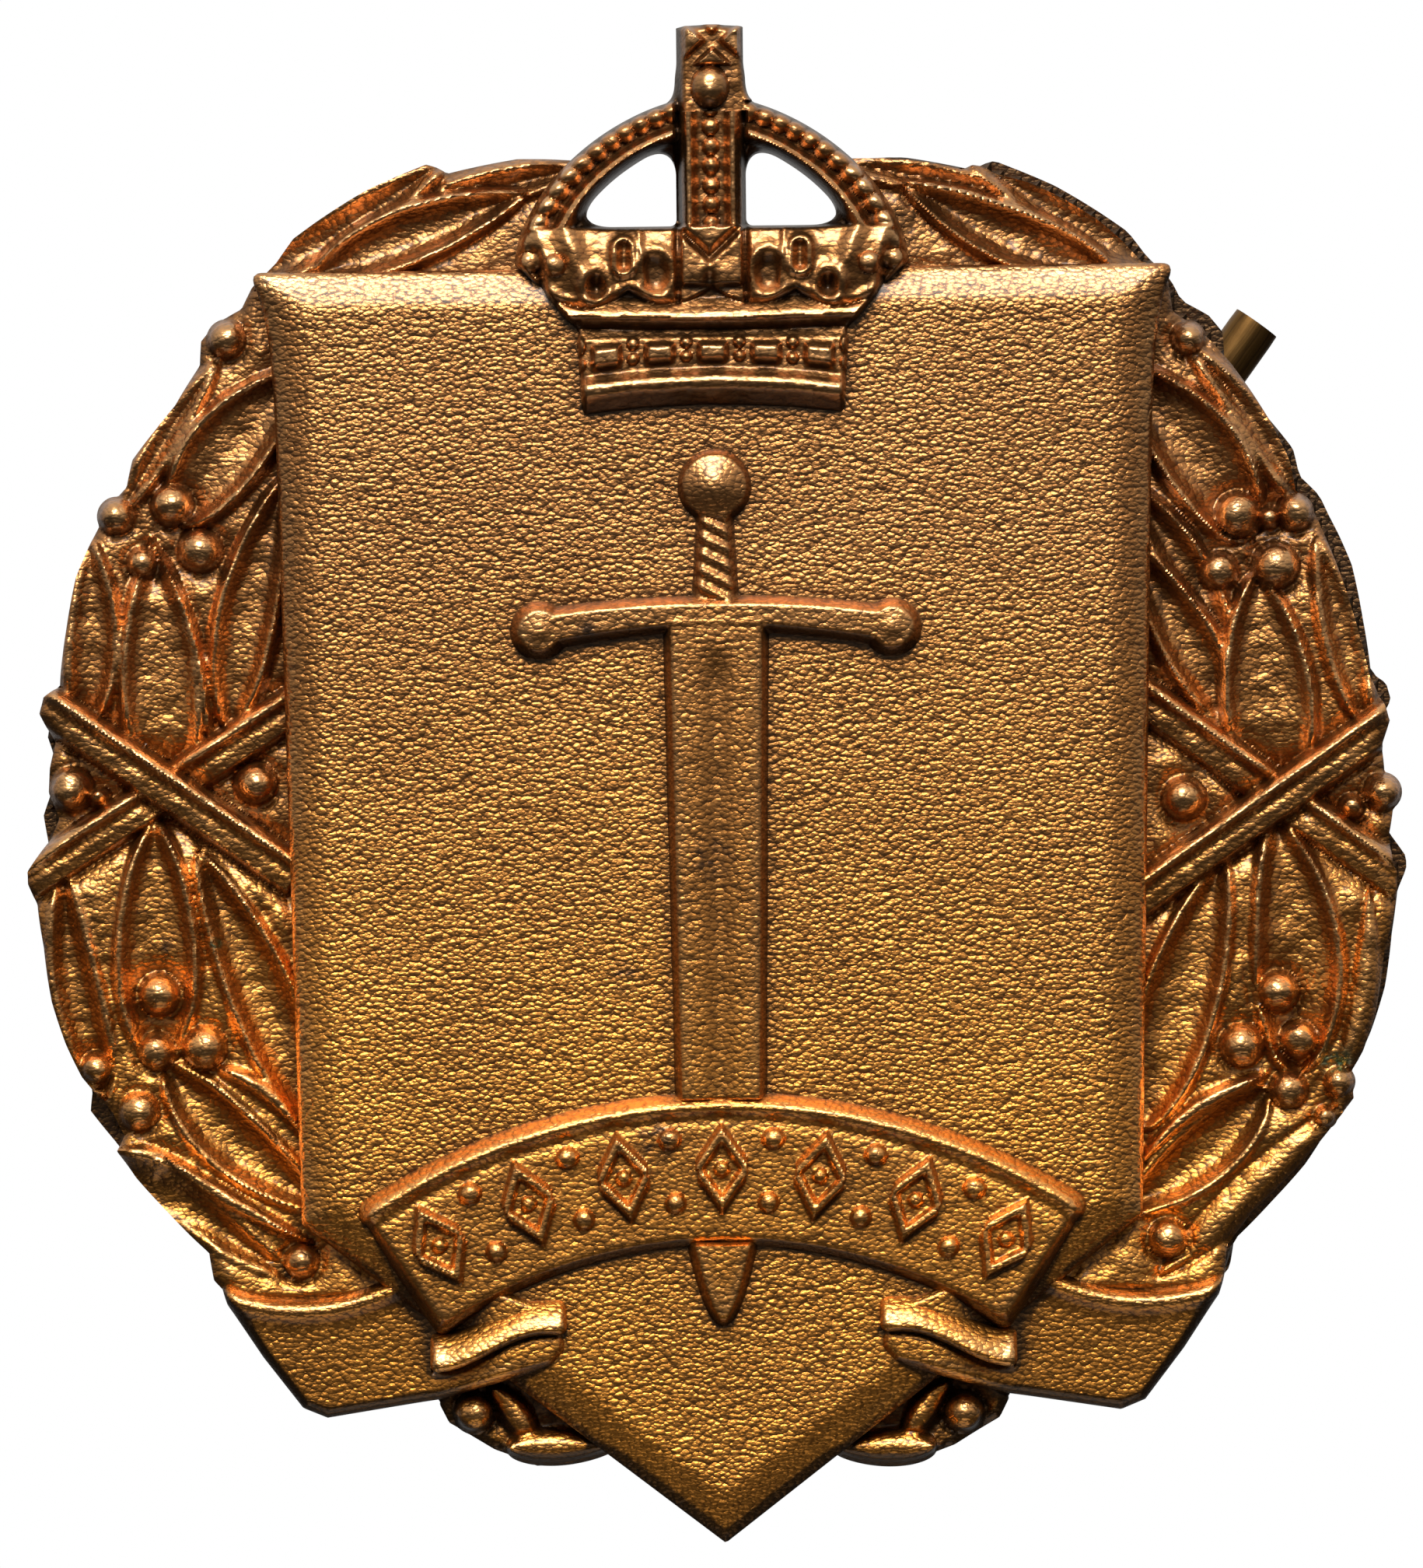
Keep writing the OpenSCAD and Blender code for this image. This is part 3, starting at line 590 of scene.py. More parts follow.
# Each leaf: foot, tip, half width, bow to its left, height of its edges, how far it dishes
LEAVES = {
    "left": [
        ((-19.5, 9.1), (-16.35, 13.9), 0.62, 0.08, 1.75, 0.25),
        ((-17.8, 8.6), (-13.45, 13.65), 1.4, 0.25, 1.95, 0.37),
        ((-16.1, 1.8), (-14.1, 10.15), 1.1, 0.25, 1.85, 0.35),
        ((-20.9, 1.75), (-20.65, 8.15), 1.0, -0.2, 1.8, 0.37),
        ((-18.1, -0.8), (-18.55, 7.8), 1.42, 0.0, 1.85, 0.25),
        ((-16.75, 1.2), (-18.55, 8.0), 0.16, -0.45, 1.95, -0.08),
        ((-20.3, -10.3), (-21.65, -2.95), 0.95, 0.3, 1.85, 0.5),
        ((-18.5, -9.3), (-18.6, -1.2), 1.45, 0.0, 1.95, 0.4),
        ((-13.6, -11.15), (-17.15, -2.3), 1.2, -0.15, 1.95, 0.45),
        ((-18.3, -9.4), (-12.95, -14.15), 1.15, -0.35, 1.85, 0.5),
        ((-16.7, -9.3), (-13.65, -11.85), 0.3, 0.4, 1.95, -0.2),
        ((-20.15, -12.3), (-14.2, -16.35), 0.85, 0.0, 1.65, 0.3),
        ((-20.25, -12.1), (-17.15, -13.3), 0.3, 0.4, 1.85, -0.2),
        ((-18.35, -12.3), (-13.45, -15.25), 0.3, -0.15, 1.9, -0.2),
        ((-9.2, 19.2), (-3.8, 20.25), 0.65, 0.0, 1.7, 0.4),
        ((-15.2, 16.45), (-8.7, 20.45), 0.85, 0.0, 1.8, 0.45),
        ((-13.0, 16.75), (-6.2, 19.3), 1.05, 0.1, 2.0, 0.5),
    ],
    "right": [
        ((19.3, 8.8), (15.55, 14.25), 0.65, -0.35, 1.75, 0.25),
        ((17.7, 7.7), (13.35, 13.55), 1.5, -0.35, 1.95, 0.5),
        ((16.85, 4.5), (13.6, 9.65), 0.85, -0.1, 1.85, 0.4),
        ((17.0, 1.5), (13.6, 7.65), 1.05, -0.1, 1.85, 0.4),
        ((21.4, 1.55), (19.9, 7.7), 0.8, 0.0, 1.8, 0.37),
        ((18.5, -1.0), (17.85, 6.6), 1.6, 0.0, 1.9, 0.3),
        ((20.3, -11.5), (21.45, -3.85), 0.55, -0.35, 1.75, -0.2),
        ((19.0, -10.0), (18.4, -1.4), 1.55, -0.35, 1.95, 0.43),
        ((13.85, -11.75), (16.65, -2.8), 1.4, 0.0, 1.95, 0.4),
        ((18.0, -10.5), (13.05, -14.55), 1.15, 0.25, 1.85, 0.5),
        ((17.9, -10.0), (13.55, -13.15), 0.3, -0.45, 1.95, -0.2),
        ((20.6, -11.25), (14.4, -16.55), 0.75, 0.0, 1.6, -0.25),
        ((9.1, 19.4), (4.2, 20.25), 0.6, 0.0, 1.7, 0.4),
        ((15.1, 16.25), (8.6, 20.25), 0.8, -0.05, 1.8, 0.45),
        ((13.1, 16.55), (6.4, 19.5), 1.05, 0.2, 2.0, 0.5),
    ],
}

# Each berry: place and radius
BERRIES = {
    "left": [
        ((-16.05, 14.65), 0.62), ((-19.75, 8.85), 0.6), ((-17.9, 9.2), 0.68), ((-17.0, 7.7), 0.72),
        ((-18.9, 7.3), 0.5), ((-21.3, -0.15), 0.72), ((-20.4, -0.45), 0.35), ((-15.25, 0.0), 0.7),
        ((-18.5, -6.95), 0.68), ((-18.6, -8.85), 0.62), ((-17.0, -8.7), 0.75), ((-20.6, -9.35), 0.5),
        ((-19.2, -10.8), 0.68), ((-13.9, -15.8), 0.58),
    ],
    "right": [
        ((15.7, 14.35), 0.54), ((17.3, 8.5), 0.75), ((19.15, 8.55), 0.6), ((18.3, 8.4), 0.35),
        ((16.65, 6.65), 0.62), ((18.5, 6.8), 0.75), ((15.4, -0.85), 0.72), ((21.95, -0.7), 0.6),
        ((20.9, -1.2), 0.4), ((18.4, -7.25), 0.68), ((17.2, -9.0), 0.75), ((19.1, -8.85), 0.6),
        ((18.75, -10.5), 0.64), ((20.4, -10.25), 0.5), ((19.95, -11.4), 0.35), ((14.7, -15.35), 0.66),
    ],
}

# Each ribbon: its two ends and its height; the higher one lies on top
RIBBONS = {
    "left": [
        ((-23.0, -3.25), (-13.85, 2.6), 1.8),
        ((-22.45, 2.85), (-13.85, -3.15), 2.05),
    ],
    "right": [
        ((13.75, 2.75), (22.65, -3.75), 1.8),
        ((13.55, -4.3), (22.5, 1.9), 2.05),
    ],
}


def on_line(u, v, a, b):
    """Share of the way from a to b, signed distance to the left of that line, and its length."""
    du, dv = b[0] - a[0], b[1] - a[1]
    length = np.hypot(du, dv)
    along = ((u - a[0]) * du + (v - a[1]) * dv) / length**2
    across = ((v - a[1]) * du - (u - a[0]) * dv) / length
    return along, across, length


def leaf_form(u, v, foot, tip, w, bow, top, dish):
    """Distance inside a leaf, its height, the groove round it and the softness of its edge.

    Its midrib bows by bow * sin(pi s), its half width is w * sin(pi s^0.8)^0.58, and its face falls
    from a soft raised rim to its midrib by 1.2 dish (1 - x^2), where x runs from -1 to 1 across it.
    """
    s, o, length = on_line(u, v, foot, tip)
    t = np.clip(s, 0, 1)
    o = o - bow * np.sin(np.pi * t)
    half = w * np.sin(np.pi * t**0.8) ** 0.58
    d = np.minimum(half - np.abs(o), np.minimum(s, 1 - s) * length + 0.12)
    x = np.clip(np.abs(o) / (half + 0.01), 0, 1)
    rim = 0.32 * hill(d - 0.2, 0.27) * (dish > 0)
    return d, top - 0.08 - 1.2 * dish * (1 - x * x) + rim, 0.16, 0.4


def berry_form(u, v, place, r):
    """Distance inside a berry, its height, groove and softness: a dome on a sunken ring."""
    far = np.hypot(u - place[0], v - place[1])
    return r - far, 1.62 + 0.95 * r * np.clip(1 - (far / r) ** 2, 0, None) ** 0.75, 0.36, 0.3


def ribbon_form(u, v, a, b, top, w=1.32):
    """Distance inside a band from a to b, its height with a rim on its upper side, groove and softness."""
    s, o, length = on_line(u, v, a, b)
    d = np.minimum(w / 2 - np.abs(o), np.minimum(s, 1 - s) * length)
    o = o * np.sign(b[0] - a[0])
    h = top + 0.3 * hill(o - 0.36, 0.2) - 0.1 * hill(o - 0.02, 0.18) - 0.12 * smooth(-o / 0.5)
    return d, h, 0.45, 0.26


def wreath_forms(side):
    """Every form of one side, from the lowest to the one on top."""
    forms = [(leaf_form, leaf) for leaf in LEAVES[side]]
    forms += [(berry_form, berry) for berry in BERRIES[side]]
    return forms + [(ribbon_form, ribbon) for ribbon in RIBBONS[side]]


def rounds(side):
    """Angle and radius of the edge round the wreath's centre, in order of angle."""
    u, v = np.array(WREATH_EDGE[side]).T
    angle, r = np.arctan2(v - WREATH_V, np.abs(u)), np.hypot(u, v - WREATH_V)
    order = np.argsort(angle)
    return angle[order], r[order]


def wreath_inside(u, v, side):
    """The ground inside the edge, joined with the berries that reach past it."""
    angle = np.arctan2(v - WREATH_V, np.abs(u))
    d = (np.interp(angle, *rounds(side)) - np.hypot(u, v - WREATH_V)) * 0.92
    for u0, v0, r in ((*place, r) for place, r in BERRIES[side]):
        d = np.maximum(d, r + 0.06 - np.hypot(u - u0, v - v0))
    d = np.minimum(d, np.minimum(np.abs(u) - 4.4, v + 17.2))
    return np.minimum(d, 1.1 - shield_inside(u, v))


def lay(h, u, v, forms):
    """The forms laid on the heights h one by one; each cuts a soft groove into what lies round it."""
    for form, numbers in forms:
        d, top, groove, soft = form(u, v, *numbers)
        cover = smooth(0.5 + d / soft)
        h = (h - groove * np.exp(-np.abs(d) / 0.3)) * (1 - cover) + top * cover
    return h


def wreath_height(u, v, side):
    """The ground, higher below the ribbons than above them, with all the forms laid on it."""
    h = GROUND_T + 0.25 * smooth((-1.5 - v) / 2) + 0.06 * ruffle(u, v, 0.9, 7)
    h = h - 0.08 * hill(shield_inside(u, v), 0.35) * (v < 16)
    h = lay(h, u, v, wreath_forms(side))
    edge = np.clip(1 - wreath_inside(u, v, side) / 0.5, 0, 1)
    grain = 0.035 * ruffle(u, v, 0.6, 11) + 0.025 * ruffle(u, v, 0.33, 5)
    return np.maximum(h + grain, 0.9) - 0.35 * edge**2


for side, box in (("left", (-23.1, -4.3, -17.3, 20.8)), ("right", (4.3, 23.1, -17.3, 20.8))):
    strike(
        "wreath_" + side, box, 0.078,
        lambda u, v, s=side: wreath_inside(u, v, s),
        lambda u, v, s=side: wreath_height(u, v, s),
    )


# Foot sprays
# A berry and a small curled leaf show on each side between the tails and the shield's point.

FOOT = {
    "left": [(leaf_form, ((-7.7, -20.0), (-6.2, -22.4), 0.45, 0.2, 1.8, -0.2)),
             (leaf_form, ((-7.2, -22.0), (-3.6, -21.95), 0.55, 0.0, 1.6, -0.35)),
             (berry_form, ((-8.25, -20.85), 0.62))],
    "right": [(leaf_form, ((7.4, -20.0), (5.9, -22.4), 0.45, -0.2, 1.8, -0.2)),
              (leaf_form, ((7.0, -22.1), (3.6, -22.15), 0.55, 0.0, 1.6, -0.35)),
              (berry_form, ((7.9, -21.0), 0.64))],
}
FOOT_EDGE = [
    (3.4, -19.0), (3.2, -22.2), (4.6, -22.4), (6.4, -22.55), (7.6, -22.1), (9.1, -21.2),
    (9.4, -20.6), (9.3, -19.5),
]


def foot_inside(u, v, side):
    """The small ground between the tail and the slant, with a margin round the berry."""
    d = convex_inside(np.abs(u), v, FOOT_EDGE)
    for form, numbers in FOOT[side]:
        d = np.maximum(d, form(u, v, *numbers)[0] + 0.14)
    return np.minimum(d, 1.1 - shield_inside(u, v))


def foot_height(u, v, side):
    """The ground with its leaves and berry, rounded off along its edge."""
    h = lay(np.full(np.shape(u), 1.35), u, v, FOOT[side])
    edge = np.clip(1 - foot_inside(u, v, side) / 0.4, 0, 1)
    return np.maximum(h + 0.03 * ruffle(u, v, 0.5, 11), 0.9) - 0.3 * edge**2


for side, box in (("left", (-9.8, -2.6, -22.9, -18.8)), ("right", (2.6, 9.8, -22.9, -18.8))):
    strike(
        "foot_spray_" + side, box, 0.08,
        lambda u, v, s=side: foot_inside(u, v, s),
        lambda u, v, s=side: foot_height(u, v, s),
    )


# Back
# The force that struck the face left its soft negative in the back: a hollow behind everything that
# stands high, inside a flat rim that follows the edge.

MAP_STEP = 0.1
map_u = np.arange(-24, 24, MAP_STEP)
map_v = np.arange(-26, 26, MAP_STEP)
face = np.zeros((map_v.size, map_u.size))
for piece, box, inside, height in relief:
    cols = (map_u > box[0]) & (map_u < box[1])
    rows = (map_v > box[2]) & (map_v < box[3])
    u, v = np.meshgrid(map_u[cols], map_v[rows])
    part = np.where(inside(u, v) > 0, height(u, v), 0)
    face[np.ix_(rows, cols)] = np.maximum(face[np.ix_(rows, cols)], part)


def blur(field, size):
    """Gaussian blur by the Fourier transform: times exp(-2 (pi size f)^2)."""
    fv = np.fft.fftfreq(field.shape[0], MAP_STEP)[:, None]
    fu = np.fft.rfftfreq(field.shape[1], MAP_STEP)[None, :]
    fade = np.exp(-2 * (np.pi * size) ** 2 * (fu**2 + fv**2))
    return np.fft.irfft2(np.fft.rfft2(field) * fade, field.shape)


def look_up(field, u, v):
    """The map's value at each point, blended from its four neighbours."""
    x = np.clip((u - map_u[0]) / MAP_STEP, 0, map_u.size - 1.001)
    y = np.clip((v - map_v[0]) / MAP_STEP, 0, map_v.size - 1.001)
    i, j = x.astype(int), y.astype(int)
    fx, fy = x - i, y - j
    lower = field[j, i] * (1 - fx) + field[j, i + 1] * fx
    upper = field[j + 1, i] * (1 - fx) + field[j + 1, i + 1] * fx
    return lower * (1 - fy) + upper * fy


WALL = 1.25  # metal left between the face and the hollow, mm
STEP_BACK = 0.12  # the face's parts end this far in front of the hollow's floor, mm
THINNEST = 0.02  # least thickness of a part, mm
edge_zone = smooth((blur((face > 0).astype(float), 0.8) - 0.86) / 0.13)
hollow = np.clip(blur(face, 0.55) - WALL, 0, None) * edge_zone
free_crown = 0.6 * smooth((map_v[:, None] - 20.2) / 0.8) * (np.abs(map_u)[None, :] < 6)
hollow = np.maximum(hollow, free_crown)
under = np.gradient(blur(face, 0.12), MAP_STEP, axis=0)  # above 0 on sides that face down
level = blur(face, 0.45) / np.maximum(blur((face > 0).astype(float), 0.45), 0.05)


def whole_inside(u, v):
    """Inside any part of the relief, less a hair, so that the back's wall stands behind theirs."""
    return np.max([inside(u, v) for _, _, inside, _ in relief], axis=0) - 0.03


def whole_height(u, v):
    """Front of the back piece: 0.35 mm before the hollow's floor, or less where the metal is thin."""
    floor_h = look_up(hollow, u, v)
    return np.maximum(np.minimum(floor_h + 0.35, look_up(face, u, v) - 0.15), floor_h + 0.1)


back = grid_solid("struck_back", (-23.1, 23.1, -25.4, 24.9), 0.2, whole_inside, whole_height)
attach(back, "badge")
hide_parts("badge_body")

# Old marks on the face: place and radius
STAINS = ((-0.2, -2.7, 1.0), (-3.1, -6.5, 0.8), (-4.2, 4.8, 0.7), (-2.1, -11.8, 1.1), (-18.2, -5.4, 0.4))
VERDIGRIS = ((20.3, -9.5, 0.75), (-16.6, -5.3, 0.3))


def spots(u, v, places):
    """1 in the middle of each spot, falling softly to 0 at its radius."""
    return np.max([smooth(1.3 - 1.3 * np.hypot(u - x, v - y) / r) for x, y, r in places], axis=0)


# How much of the die's pebbled skin each part still has; handling has smoothed the highest
PEBBLED = {
    "shield": 1.0, "sword": 0.7, "scroll": 0.7, "crown": 0.4, "wreath_left": 0.75, "wreath_right": 0.75,
}

struck = [part[0] for part in relief] + [back]
for piece in struck:
    mesh = piece.data
    co = np.empty(len(mesh.vertices) * 3)
    mesh.vertices.foreach_get("co", co)
    co = co.reshape(-1, 3)
    half = len(co) // 2
    u, v = co[:, 0] * 1000, co[:, 2] * 1000 - MIDDLE
    lift = 0.0 if piece is back else STEP_BACK
    co[half:, 1] = -(look_up(hollow, u[half:], v[half:]) + lift) / 1000
    co[half:, 1] = np.maximum(co[half:, 1], co[:half, 1] + THINNEST / 1000)
    mesh.vertices.foreach_set("co", co.ravel())
    # Painted shade and sheen: how far each point lies below the blurred face round it, raised further on
    # sides that face down so that these tone dark as painted shade; below 0 on high rounded parts, which tone
    # light as a painted highlight.
    shade_and_sheen = look_up(level, u, v) + co[:, 1] * 1000
    shade_and_sheen = shade_and_sheen + 0.5 * smooth((look_up(under, u, v) - 0.3) / 0.7)
    if piece.name.startswith("wreath"):
        shade_and_sheen = np.minimum(shade_and_sheen - 0.1, 0.18)
    shade_and_sheen[half:] = 0.1
    pebbled = PEBBLED.get(piece.name, 0.85) * (1 - 0.3 * smooth(-shade_and_sheen / 0.35))
    stained, green = spots(u, v, STAINS), spots(u, v, VERDIGRIS)
    stained[half:], green[half:] = 0, 0
    for name, values in (("shade_and_sheen", shade_and_sheen), ("pebbled", pebbled), ("stained", stained), ("green", green)):
        mesh.attributes.new(name, "FLOAT", "POINT").data.foreach_set("value", values.astype(np.float32))
    mesh.update()


# Gilding metal
# Struck copper alloy. Its colour carries painted shade, dark in hollows, between the pebbles and on sides
# that face down, and a painted highlight, partly rubbed wear, on the high rounded parts. The die was left
# with a pebbled orange-peel skin, about 0.2 mm coarse and drawn out sideways.

def millimetres(tree, cells):
    """Object coordinates scaled so that one unit is one cell of the given width, depth and height in mm."""
    coords = add(tree, "ShaderNodeTexCoord")
    mapping = add(tree, "ShaderNodeMapping", [("Vector", coords.outputs["Object"])])
    mapping.inputs["Scale"].default_value = [1000 / c for c in cells]
    return mapping.outputs["Vector"]


def mix(tree, share, first, second):
    """Colour between first and second."""
    node = add(tree, "ShaderNodeMix", [(0, share), (6, first), (7, second)], data_type="RGBA")
    return node.outputs[2]


def between(tree, value, low, high, to_low=0.0, to_high=1.0):
    """The value mapped from one range to another and held inside it."""
    sockets = ("Value", "From Min", "From Max", "To Min", "To Max")
    return add(tree, "ShaderNodeMapRange", list(zip(sockets, (value, low, high, to_low, to_high)))).outputs[0]


def noise(tree, cells, detail):
    """Cloudy noise from 0 to 1 whose cells have the given width, depth and height in mm."""
    inputs = [("Vector", millimetres(tree, cells)), ("Scale", 1.0), ("Detail", detail)]
    return add(tree, "ShaderNodeTexNoise", inputs).outputs[0]


def carried(tree, name, output="Fac"):
    """The attribute of that name, which the mesh carries at its points."""
    return add(tree, "ShaderNodeAttribute", attribute_name=name).outputs[output]


def roughen(tree, shader, height, strength, depth):
    """Bumps of the given height on the shader, depth mm deep where the height changes by 1."""
    inputs = [("Height", height), ("Strength", strength), ("Distance", depth / 1000)]
    tree.links.new(add(tree, "ShaderNodeBump", inputs).outputs[0], shader.inputs["Normal"])


def metal(name, roughness):
    """A new metal material, its tree and its shader."""
    material = bpy.data.materials.new(name)
    material.use_nodes = True
    tree = material.node_tree
    tree.nodes.clear()
    shader = add(tree, "ShaderNodeBsdfPrincipled", [("Metallic", 1.0), ("Roughness", roughness)])
    add(tree, "ShaderNodeOutputMaterial", [("Surface", shader.outputs[0])])
    return material, tree, shader


gilding_metal, tree, shader = metal("gilding_metal", 0.3)
shade_and_sheen = carried(tree, "shade_and_sheen")
broad = noise(tree, (7, 7, 9), 3.0)
skin = add(
    tree, "ShaderNodeTexNoise",
    [("Vector", millimetres(tree, (0.5, 0.5, 0.32))), ("Scale", 1.0), ("Detail", 3.0), ("Roughness", 0.6)],
)
# Pebbles 0.2 mm wide and 0.14 mm high, pushed out of line by the skin
bend = add(
    tree, "ShaderNodeVectorMath", operation="MULTIPLY_ADD",
    inputs=[(0, skin.outputs["Color"]), (1, (0.9, 0.9, 0.9)), (2, millimetres(tree, (0.2, 0.2, 0.14)))],
)
pebble = add(tree, "ShaderNodeTexVoronoi", [("Vector", bend.outputs[0]), ("Scale", 1.0)]).outputs["Distance"]
bulge = maths(tree, "MULTIPLY", pebble, pebble)
fine = noise(tree, (0.13, 0.13, 0.08), 2.0)
up = add(tree, "ShaderNodeSeparateXYZ", [(0, add(tree, "ShaderNodeTexCoord").outputs["Object"])]).outputs["Z"]
height = between(tree, up, (MIDDLE + 8) / 1000, (MIDDLE - 14) / 1000)
tone = mix(tree, height, linear("#bd824a"), linear("#ee9f42"))
tone = mix(tree, between(tree, broad, 0.62, 0.4, 0, 0.35), tone, linear("#8f5f34"))
# Painted shade in the pits between the pebbles
tone = mix(tree, between(tree, pebble, 0.4, 0.75, 0, 0.42), tone, linear("#4f2f14"))
# Painted shade: dark in hollows, at the foot of walls and on sides that face down
tone = mix(tree, between(tree, shade_and_sheen, 0.02, 0.34, 0, 0.9), tone, linear("#33281c"))
# Painted highlight, partly rubbed wear: lighter on the high rounded parts
tone = mix(tree, between(tree, shade_and_sheen, -0.08, -0.45, 0, 0.38), tone, linear("#e8bb84"))
for name, colour in (("stained", "#2c2a2b"), ("green", "#3f8f76")):
    share = maths(tree, "MULTIPLY", carried(tree, name), between(tree, skin.outputs[0], 0.42, 0.6, 0.1, 0.8))
    tone = mix(tree, share, tone, linear(colour))
tree.links.new(tone, shader.inputs["Base Color"])
tree.links.new(between(tree, shade_and_sheen, -0.3, 0.4, 0.3, 0.42), shader.inputs["Roughness"])
shader.inputs["Coat Weight"].default_value = 0.4
shader.inputs["Coat Roughness"].default_value = 0.22
waves = maths(tree, "ADD", skin.outputs[0], between(tree, bulge, 0, 1, 0, -1.1))
waves = maths(tree, "ADD", waves, between(tree, fine, 0, 1, -0.2, 0.2))
roughen(tree, shader, maths(tree, "MULTIPLY", waves, carried(tree, "pebbled")), 1.0, 0.04)
for piece in struck:
    piece.data.materials.append(gilding_metal)


# Lugs and solder
# Two loops of drawn copper wire stand in the hollow back, each held by a grey fillet of silver solder.

copper, tree, shader = metal("copper_wire", 0.38)
stain = noise(tree, (1.5, 1.5, 1.5), 4.0)
tone = mix(tree, between(tree, stain, 0.35, 0.65), linear("#a5613c"), linear("#5d3320"))
tree.links.new(tone, shader.inputs["Base Color"])
tree.links.new(between(tree, stain, 0.3, 0.7, 0.3, 0.5), shader.inputs["Roughness"])

solder, tree, shader = metal("silver_solder", 0.5)
lumps = noise(tree, (0.6, 0.6, 0.6), 4.0)
tone = mix(tree, between(tree, lumps, 0.35, 0.65), linear("#b0aa98"), linear("#5f5546"))
tree.links.new(tone, shader.inputs["Base Color"])
roughen(tree, shader, lumps, 1.0, 0.2)

for side in ("left", "right"):
    for node, finish in ((side + "_lug", copper), (side + "_lug_braze", solder)):
        mesh = frame["nodes"][node].data
        mesh.materials.clear()
        mesh.materials.append(finish)


# Split pin
# One length of half-round brass wire, folded at the eye so that its flat sides meet, sprung a little
# apart, and bent up behind the badge once it is through both lugs.

hinge = frame["joints"][0]
AXIS_Y = hinge["pos_m"][1] * 1000
PIN_R, PIN_GAP, EYE_R, BEND_R = 0.82, 0.44, 1.0, 1.0
NECK = 2.2  # from the middle of the eye to where the legs run straight, mm
eye_x = low_corner("split_pin")[0] + PIN_R + EYE_R


def pin_leg(corner, angle, length, side):
    """Points from the neck to the cut end of one leg, bent by angle at the corner with an arc."""
    r = BEND_R + PIN_R
    back_off = r * np.tan(angle / 2)
    run = np.linspace(eye_x + NECK, corner - back_off, 40)
    turn = np.linspace(0, angle, 16)[1:]
    beyond = np.linspace(back_off, length, 30)[1:]
    x = np.concatenate([run, corner - back_off + r * np.sin(turn), corner + beyond * np.cos(angle)])
    z = np.concatenate([0 * run, r - r * np.cos(turn), beyond * np.sin(angle)])
    return np.stack([x, np.full(x.size, side * PIN_GAP / 2), z], 1)


def eye_curve(count):
    """The flat inner side round the eye, from one leg to the other, narrowing to the neck."""
    t = np.linspace(-1, 1, count)
    bend = np.pi * np.clip(np.abs(t) / 0.8, 0, 1) * 0.86
    neck = smooth((np.abs(t) - 0.72) / 0.28)
    x = eye_x - EYE_R * np.cos(bend) * (1 - neck) + NECK * neck
    y = np.sign(t) * (EYE_R * np.sin(bend) * (1 - neck) + PIN_GAP / 2 * neck)
    return np.stack([x, y, 0 * t], 1)


def sweep(name, path, outward, radius, material):
    """A half disc carried along path: its flat side on the path, its round side towards outward."""
    along = np.gradient(path, axis=0)
    along /= np.linalg.norm(along, axis=1)[:, None]
    across = np.cross(along, outward)
    across /= np.linalg.norm(across, axis=1)[:, None]
    bend = np.linspace(-np.pi / 2, np.pi / 2, 15)
    ring_out = np.concatenate([np.cos(bend), [0.0, 0.0, 0.0]])
    ring_side = np.concatenate([np.sin(bend), [0.5, 0.0, -0.5]])
    reach = radius[:, None, None]
    points = path[:, None, :] + reach * ring_out[None, :, None] * outward[:, None, :]
    points = points + reach * ring_side[None, :, None] * across[:, None, :]
    n, m = points.shape[:2]
    i, j = np.meshgrid(np.arange(n - 1), np.arange(m), indexing="ij")
    a, b = i * m + j, i * m + (j + 1) % m
    quads = np.stack([a, a + m, b + m, b], -1).reshape(-1, 4)
    ends = [path[:1] + 0.4 * radius[0] * outward[:1], path[-1:] + 0.4 * radius[-1] * outward[-1:]]
    verts = np.concatenate([points.reshape(-1, 3), *ends]) + [0, AXIS_Y, 0]
    k = np.arange(m)
    first = np.stack([np.full(m, n * m), k, (k + 1) % m], 1)
    last = np.stack([np.full(m, n * m + 1), (n - 1) * m + (k + 1) % m, (n - 1) * m + k], 1)
    mesh = bpy.data.meshes.new(name)
    mesh.from_pydata(verts / 1000, [], quads.tolist() + first.tolist() + last.tolist())
    mesh.polygons.foreach_set("use_smooth", np.ones(len(mesh.polygons), bool))
    mesh.set_sharp_from_angle(angle=np.radians(40))
    mesh.materials.append(material)
    # Where each point lies round the wire and along it, in mm, for the drawing marks
    length = np.concatenate([[0], np.cumsum(np.linalg.norm(np.diff(path, axis=0), axis=1))])
    drawn = np.stack([np.tile(ring_out, n) * PIN_R, np.tile(ring_side, n) * PIN_R, np.repeat(length, m)], 1)
    drawn = np.concatenate([drawn, [[0, 0, 0], [0, 0, length[-1]]]]).astype(np.float32)
    mesh.attributes.new("drawn", "FLOAT_VECTOR", "POINT").data.foreach_set("vector", drawn.ravel())
    piece = bpy.data.objects.new(name, mesh)
    bpy.context.scene.collection.objects.link(piece)
    return piece


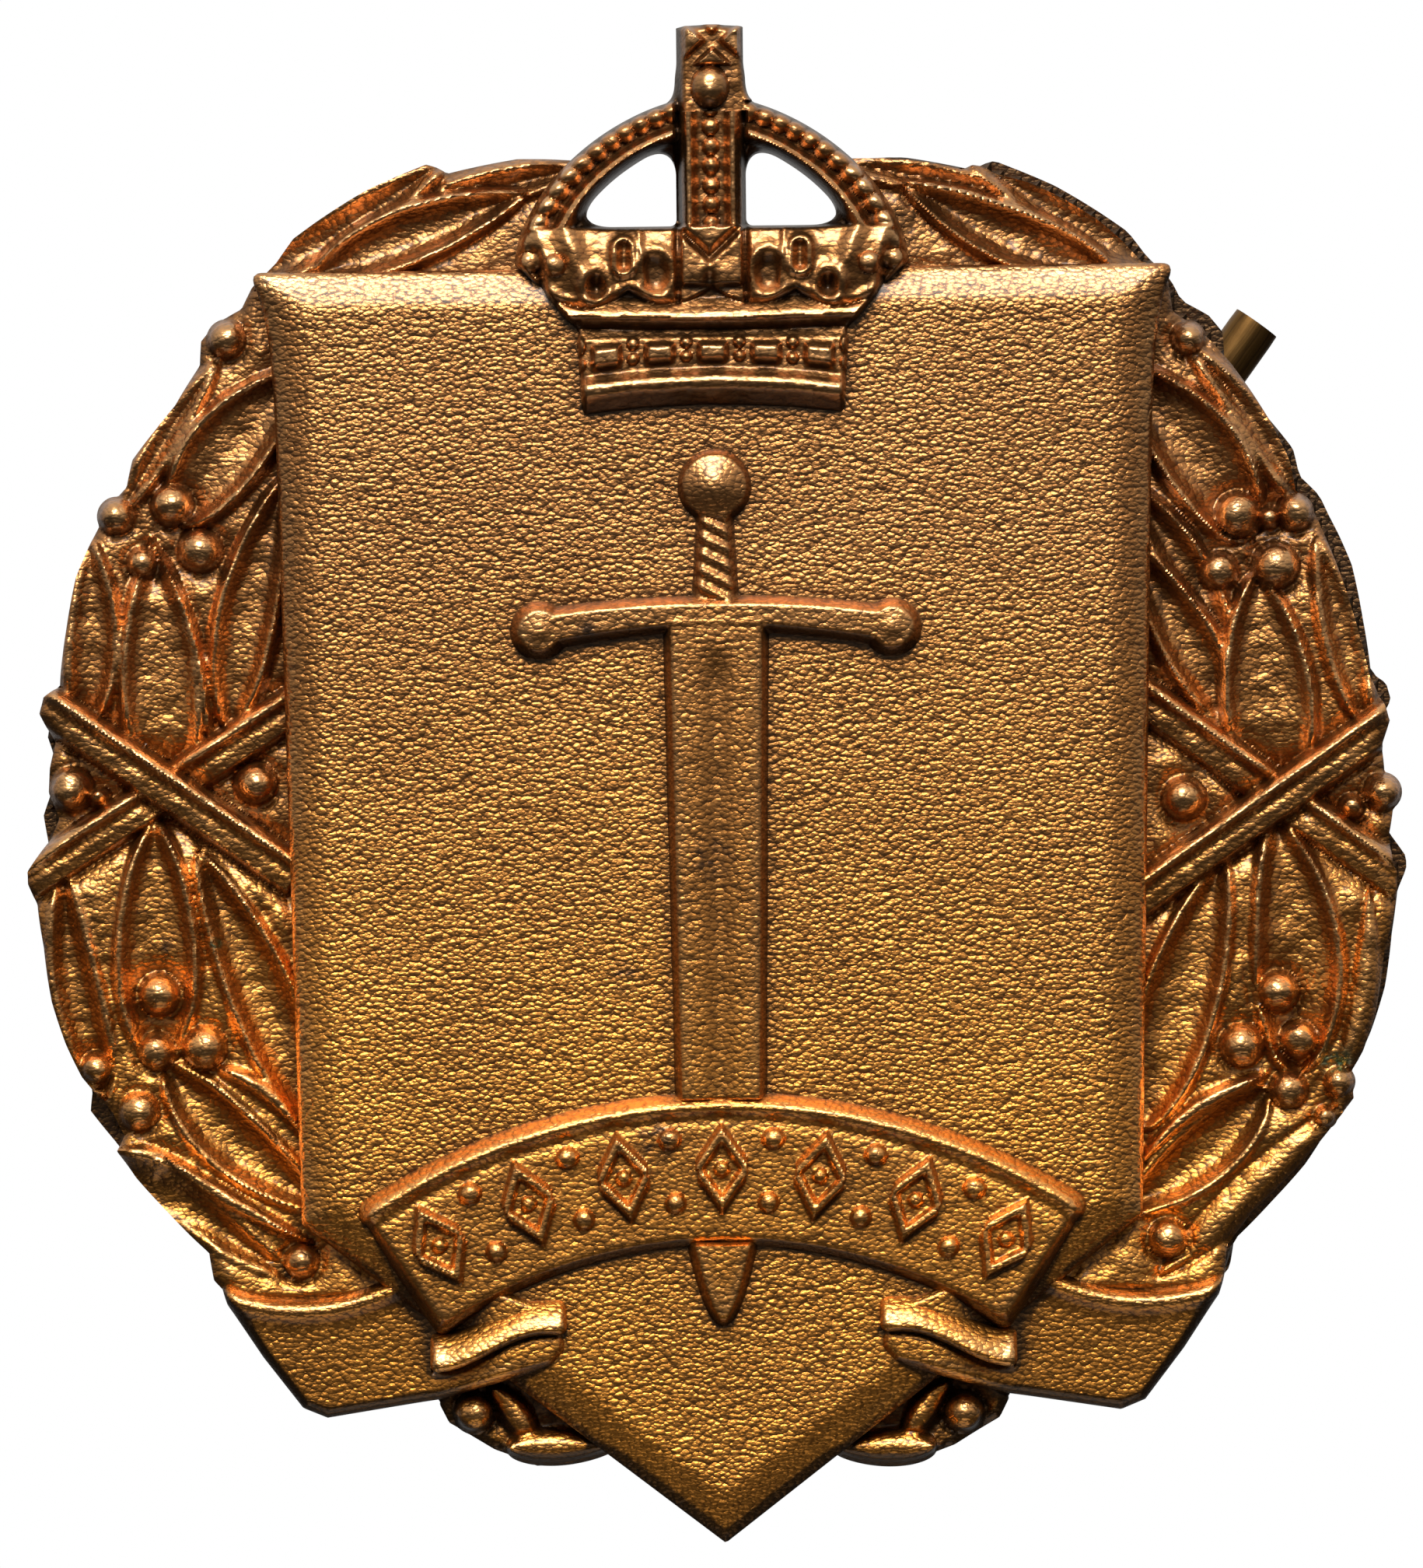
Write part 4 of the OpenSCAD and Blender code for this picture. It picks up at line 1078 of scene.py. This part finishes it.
LUG_X = 8.0
front_leg = pin_leg(LUG_X + 2.9, np.radians(54), 12.3, -1)
back_leg = pin_leg(LUG_X + 1.6, np.radians(60), 12.05, 1)
eye = eye_curve(61)
path = np.concatenate([front_leg[::-1], eye[1:-1], back_leg])
slope = np.gradient(path[:, :2], axis=0)
outward = np.stack([-slope[:, 1], slope[:, 0], 0 * slope[:, 0]], 1)
outward[: len(front_leg)] = [0, -1, 0]
outward[-len(back_leg) :] = [0, 1, 0]
outward /= np.linalg.norm(outward, axis=1)[:, None]
radius = np.full(len(path), PIN_R)
radius[0] = 0.98 * PIN_R
radius[-4:] = PIN_R * np.array([0.98, 0.93, 0.82, 0.6])

pin_brass, tree, shader = metal("drawn_brass", 0.34)
stain = noise(tree, (2.5, 2.5, 2.5), 4.0)
streaks = add(
    tree, "ShaderNodeVectorMath", operation="MULTIPLY",
    inputs=[(0, carried(tree, "drawn", "Vector")), (1, (6, 6, 0.4))],
).outputs[0]
scratch = add(tree, "ShaderNodeTexNoise", [("Vector", streaks), ("Scale", 1.0), ("Detail", 3.0)]).outputs[0]
tone = mix(tree, between(tree, stain, 0.35, 0.65), linear("#8d6a3a"), linear("#5a4021"))
tone = mix(tree, between(tree, scratch, 0.45, 0.65, 0, 0.6), tone, linear("#33241a"))
tree.links.new(tone, shader.inputs["Base Color"])
tree.links.new(between(tree, stain, 0.3, 0.7, 0.28, 0.46), shader.inputs["Roughness"])
roughen(tree, shader, scratch, 0.6, 0.03)

pin = sweep("split_pin_wire", path, outward, radius, pin_brass)
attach(pin, "pin")
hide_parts("split_pin")


# Floor
# A plain pale sheet, well below the badge.

FLOOR_DROP = 420  # from the shield's point down to the floor, mm

bpy.ops.mesh.primitive_plane_add(size=0.4, location=(0, 0, (low[2] - FLOOR_DROP) / 1000))
floor = bpy.context.object
floor.name = "floor"
pale, tree, shader = metal("pale_card", 0.8)
shader.inputs["Metallic"].default_value = 0.0
shader.inputs["Base Color"].default_value = linear("#dcdcdc")
floor.data.materials.append(pale)

bpy.context.view_layer.update()
